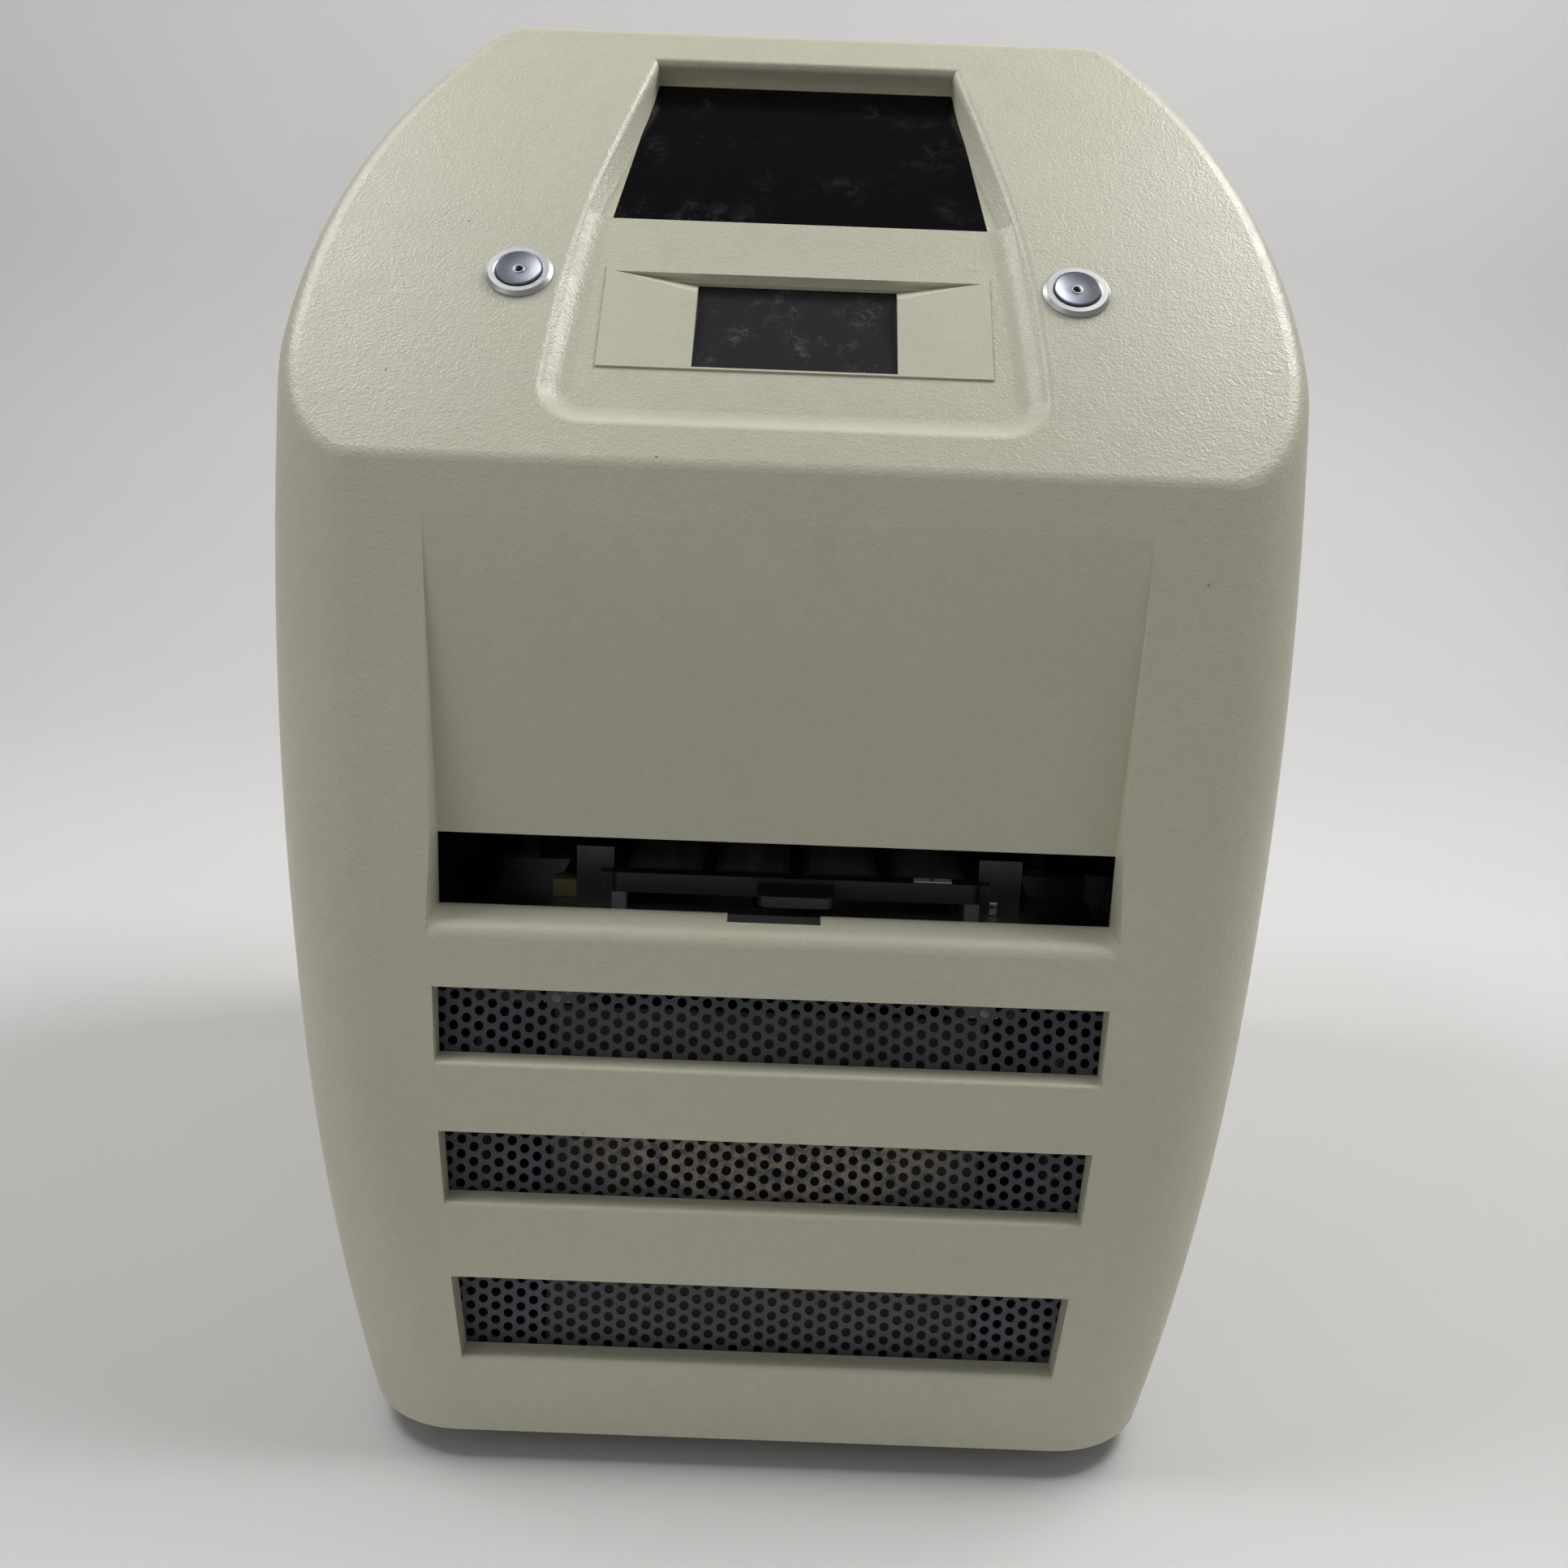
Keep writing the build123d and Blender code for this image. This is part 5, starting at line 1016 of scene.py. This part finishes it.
@dataclass
class SlideStage:
    """Two-axis stage with the slide tray."""

    MERGE = 0.0001 * MM

    nodes: Nodes
    numeral_size: float = 5.0 * MM
    numeral_rise: float = 0.05 * MM
    stop_width: float = 8.5 * MM
    stop_height: float = 6.5 * MM
    stop_from: float = 4.0 * MM
    stop_to: float = 12.0 * MM
    clip_inset: tuple[float, float] = (13.0 * MM, 8.0 * MM)
    clip_height: float = 5.0 * MM
    clip_gap: float = 0.4 * MM

    def build(self) -> None:
        """Dresses the stage and adds the tray's small fittings."""
        dress(self.nodes, RAIL, "y_rails", "y_lead_screw")
        dress(self.nodes, CROSS_RAIL, "x_rails", "x_lead_screw")
        dress(
            self.nodes, ALLOY, "y_screw_bearings", "x_screw_bearings", "y_carriage", "x_slide"
        )
        dress(self.nodes, GRAPHITE, "y_motor", "x_motor")
        dress(self.nodes, GUIDE, "tray_guides")
        dress(self.nodes, TRAY_METAL, "slide_tray")
        dress(self.nodes, CLEAR, "glass_slides")
        dress(self.nodes, LABEL, "tray_label")
        self.numeral()
        self.stops()

    def numeral(self) -> None:
        """Number on the tray's label, read from behind the tray."""
        low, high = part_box("tray_label")
        Workbench.clear()
        bpy.ops.object.text_add(
            location=((low.x + high.x) / 2, (low.y + high.y) / 2, high.z),
            rotation=(0, 0, math.pi),
        )
        text = bpy.context.object
        text.data.body = "3"
        text.data.size = self.numeral_size
        text.data.extrude = self.numeral_rise
        text.data.align_x = "CENTER"
        text.data.align_y = "CENTER"
        bpy.ops.object.convert(target="MESH")
        Workbench.edit()
        bpy.ops.mesh.remove_doubles(threshold=self.MERGE)
        bpy.ops.object.mode_set(mode="OBJECT")
        Workbench.settle(
            bpy.context.object, "tray_numeral", BLACK, "tray", "connector_black"
        )

    def stops(self) -> None:
        """Travel stop on the left guide and spring clip on the right one."""
        low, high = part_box("tray_guides")
        block = Workbench.slab(
            (low.x - self.stop_width, low.y + self.stop_from, low.z),
            (low.x, low.y + self.stop_to, low.z + self.stop_height),
            0.5 * MM,
        )
        Workbench.settle(block, "travel_stop", TAN, "x_slide", "filter_frame")
        clip = Workbench.slab(
            (high.x - self.clip_inset[0], low.y + self.clip_gap, low.z),
            (high.x - self.clip_inset[1], low.y + self.stop_from, low.z + self.clip_height),
            0.7 * MM,
        )
        Workbench.settle(clip, "spring_clip", BRIGHT, "x_slide", "fixings")


@dataclass
class Optics:
    """Column, focus carriage, objective, tube lens, camera and lamp."""

    nodes: Nodes

    def build(self) -> None:
        """Dresses the optics."""
        dress(
            self.nodes, DARK_ALLOY, "optical_bench", "optics_column", "lamp_housing",
            "condenser", "objective", "tube_lens", "camera",
        )
        dress(self.nodes, RAIL, "focus_rail")
        dress(self.nodes, ALLOY, "focus_slide", "tube_clamp", "bench_posts")
        dress(self.nodes, GRAPHITE, "focus_actuator")


@dataclass
class Chassis:
    """Floor plate, feet, power and control units, filter."""

    MERGE = 0.01 * MM
    SMOOTH_FACTOR = 0.6
    SMOOTH_STEPS = 3
    FOAM_FILL = 0.9
    ALL_SMOOTH = 180.0

    nodes: Nodes
    foam_voxel: float = 1.6 * MM
    pit_size: float = 4.0 * MM
    pit_depth: float = 0.7 * MM
    pit_level: float = 0.35

    def build(self) -> None:
        """Dresses the chassis."""
        dress(self.nodes, PLATE, "base_plate", "power_supply")
        dress(
            self.nodes, RUBBER, "front_left_foot", "front_right_foot", "rear_left_foot",
            "rear_right_foot",
        )
        dress(self.nodes, BRIGHT, "foot_screws", "board_standoffs")
        dress(self.nodes, BOARD, "controller_board")
        dress(self.nodes, OLIVE, "filter_frame")
        dress(self.nodes, FOAM, "filter_foam")
        self.foam_pad()

    def foam_pad(self) -> None:
        """Open-cell pad in place of the plain block: soft edges and a pitted skin."""
        Workbench.clear()
        pad = self.nodes["filter_foam"].copy()
        pad.data = self.nodes["filter_foam"].data.copy()
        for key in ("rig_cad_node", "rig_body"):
            if key in pad:
                del pad[key]
        pad.parent = None
        bpy.context.scene.collection.objects.link(pad)
        pad.select_set(True)
        bpy.context.view_layer.objects.active = pad
        Workbench.edit()
        bpy.ops.mesh.remove_doubles(threshold=self.MERGE)
        bpy.ops.object.mode_set(mode="OBJECT")
        voxels = pad.modifiers.new("voxels", "REMESH")
        voxels.mode = "VOXEL"
        voxels.voxel_size = self.foam_voxel
        smooth = pad.modifiers.new("smooth", "SMOOTH")
        smooth.factor = self.SMOOTH_FACTOR
        smooth.iterations = self.SMOOTH_STEPS
        pits = bpy.data.textures.new("foam_pits", "CLOUDS")
        pits.noise_scale = self.pit_size
        displace = pad.modifiers.new("pits", "DISPLACE")
        displace.texture = pits
        displace.strength = -self.pit_depth
        displace.mid_level = self.pit_level
        Workbench.apply(pad)
        Workbench.settle(pad, "foam_pad", FOAM, "root", "foam", self.ALL_SMOOTH)
        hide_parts("filter_foam")


@dataclass
class RearPanel:
    """Connector panel with fan, mains inlet, switch and data sockets."""

    nodes: Nodes

    def build(self) -> None:
        """Dresses the rear panel."""
        dress(self.nodes, PANEL, "rear_panel")
        dress(self.nodes, BRIGHT, "rear_panel_screws", "fan_guard")
        dress(
            self.nodes, BLACK, "fan_frame", "fan_rotor", "power_inlet", "switch_frame",
            "power_rocker",
        )
        dress(self.nodes, GRAPHITE, "data_port")


# ---------------------------------------------------------------- studio
@dataclass(frozen=True)
class SoftLamp:
    """Soft square lamp."""

    name: str
    place: Point
    aim: Point
    side: float
    watts: float

    def build(self) -> None:
        """Hangs the lamp and points it."""
        data = bpy.data.lights.new(self.name, "AREA")
        data.size = self.side
        data.energy = self.watts
        lamp = bpy.data.objects.new(self.name, data)
        bpy.context.scene.collection.objects.link(lamp)
        way = Vector(self.aim) - Vector(self.place)
        turn = way.to_track_quat("-Z", "Y").to_matrix().to_4x4()
        lamp.matrix_world = Matrix.Translation(self.place) @ turn


LAMPS = (
    SoftLamp("key", (0.95, 0.30, 1.75), (0.0, -0.05, 0.3), side=0.8, watts=22.5),
    SoftLamp("counter", (-0.95, 0.15, 1.75), (0.0, -0.05, 0.3), side=0.8, watts=14.0),
    SoftLamp("side_fill", (-1.4, -1.5, 0.9), (0.0, -0.1, 0.25), side=1.2, watts=3.0),
)


@dataclass
class Studio:
    """Plain floor and backdrop, soft lamps and the camera."""

    SENSOR = 36.0
    CLIP_START = 0.01
    RIGHT_ANGLE = 90.0

    eye: Point = (1.7 * MM, -641.0 * MM, 346.5 * MM)
    pitch: float = 14.65
    roll: float = 2.14
    lens: float = 35.497
    floor_side: float = 6.0
    floor_y: float = -1.7
    wall_y: float = 1.0
    wall_height: float = 3.0
    sweep_radius: float = 0.5
    sweep_steps: int = 12
    floor_colour: Colour = (0.72, 0.71, 0.70)
    floor_patches: float = 3.0
    floor_roughness: float = 0.6
    sky: tuple[float, float, float, float] = (0.97, 0.98, 1.0, 1.0)
    sky_strength: float = 0.21

    def camera(self) -> None:
        """Camera at the photograph's viewing angle."""
        data = bpy.data.cameras.new("camera")
        data.sensor_width = self.SENSOR
        data.lens = self.lens
        data.clip_start = self.CLIP_START
        camera = bpy.data.objects.new("camera", data)
        bpy.context.scene.collection.objects.link(camera)
        tilt = Matrix.Rotation(math.radians(self.RIGHT_ANGLE - self.pitch), 4, "X")
        roll = Matrix.Rotation(math.radians(self.roll), 4, "Z")
        camera.matrix_world = Matrix.Translation(self.eye) @ tilt @ roll
        bpy.context.scene.camera = camera

    def sweep(self) -> None:
        """Floor that curves up into a backdrop."""
        Workbench.clear()
        bpy.ops.mesh.primitive_plane_add(size=self.floor_side, location=(0, self.floor_y, 0))
        floor = bpy.context.object
        bpy.ops.object.transform_apply(location=True, rotation=True, scale=True)
        Workbench.edit()
        Workbench.pick(floor, lambda place: place.y > self.wall_y)
        rise = (0, 0, self.wall_height)
        bpy.ops.mesh.extrude_region_move(TRANSFORM_OT_translate={"value": rise})
        Workbench.pick(floor, lambda place: place.y > self.wall_y and place.z < 0.1)
        bpy.ops.mesh.bevel(
            offset=self.sweep_radius, segments=self.sweep_steps, affect="EDGES"
        )
        bpy.ops.object.mode_set(mode="OBJECT")
        bpy.ops.object.shade_smooth()
        floor.name = "sweep"
        graph = MaterialGraph("studio_floor")
        patches = graph.span(graph.noise(self.floor_patches, 2.0), 0.3, 0.7)
        shade = graph.blend(patches, self.floor_colour, shaded(self.floor_colour, 0.97))
        graph.surface(base_color=shade, roughness=self.floor_roughness)
        floor.data.materials.append(graph.material)

    def world(self) -> None:
        """Even ambient light."""
        world = bpy.data.worlds.new("studio")
        world.use_nodes = True
        bpy.context.scene.world = world
        background = world.node_tree.nodes["Background"]
        background.inputs["Color"].default_value = self.sky
        background.inputs["Strength"].default_value = self.sky_strength

    def build(self) -> None:
        """Sets up camera, light and floor."""
        bpy.context.scene.view_settings.view_transform = "Standard"
        self.camera()
        self.sweep()
        self.world()
        for lamp in LAMPS:
            lamp.build()


def main() -> None:
    """Builds the sub-assemblies in order."""
    logging.basicConfig(level=logging.INFO, format="%(name)s %(message)s")
    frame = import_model()
    nodes = frame["nodes"]
    Studio().build()
    for assembly in (
        Covers(nodes),
        VentScreen(nodes),
        DisplayWell(nodes),
        PushButtons(nodes, tuple(frame["joints"])),
        SlideStage(nodes),
        Optics(nodes),
        Chassis(nodes),
        RearPanel(nodes),
    ):
        assembly.build()
        LOG.info("%s built", type(assembly).__name__)


if __name__ == "__main__":
    main()
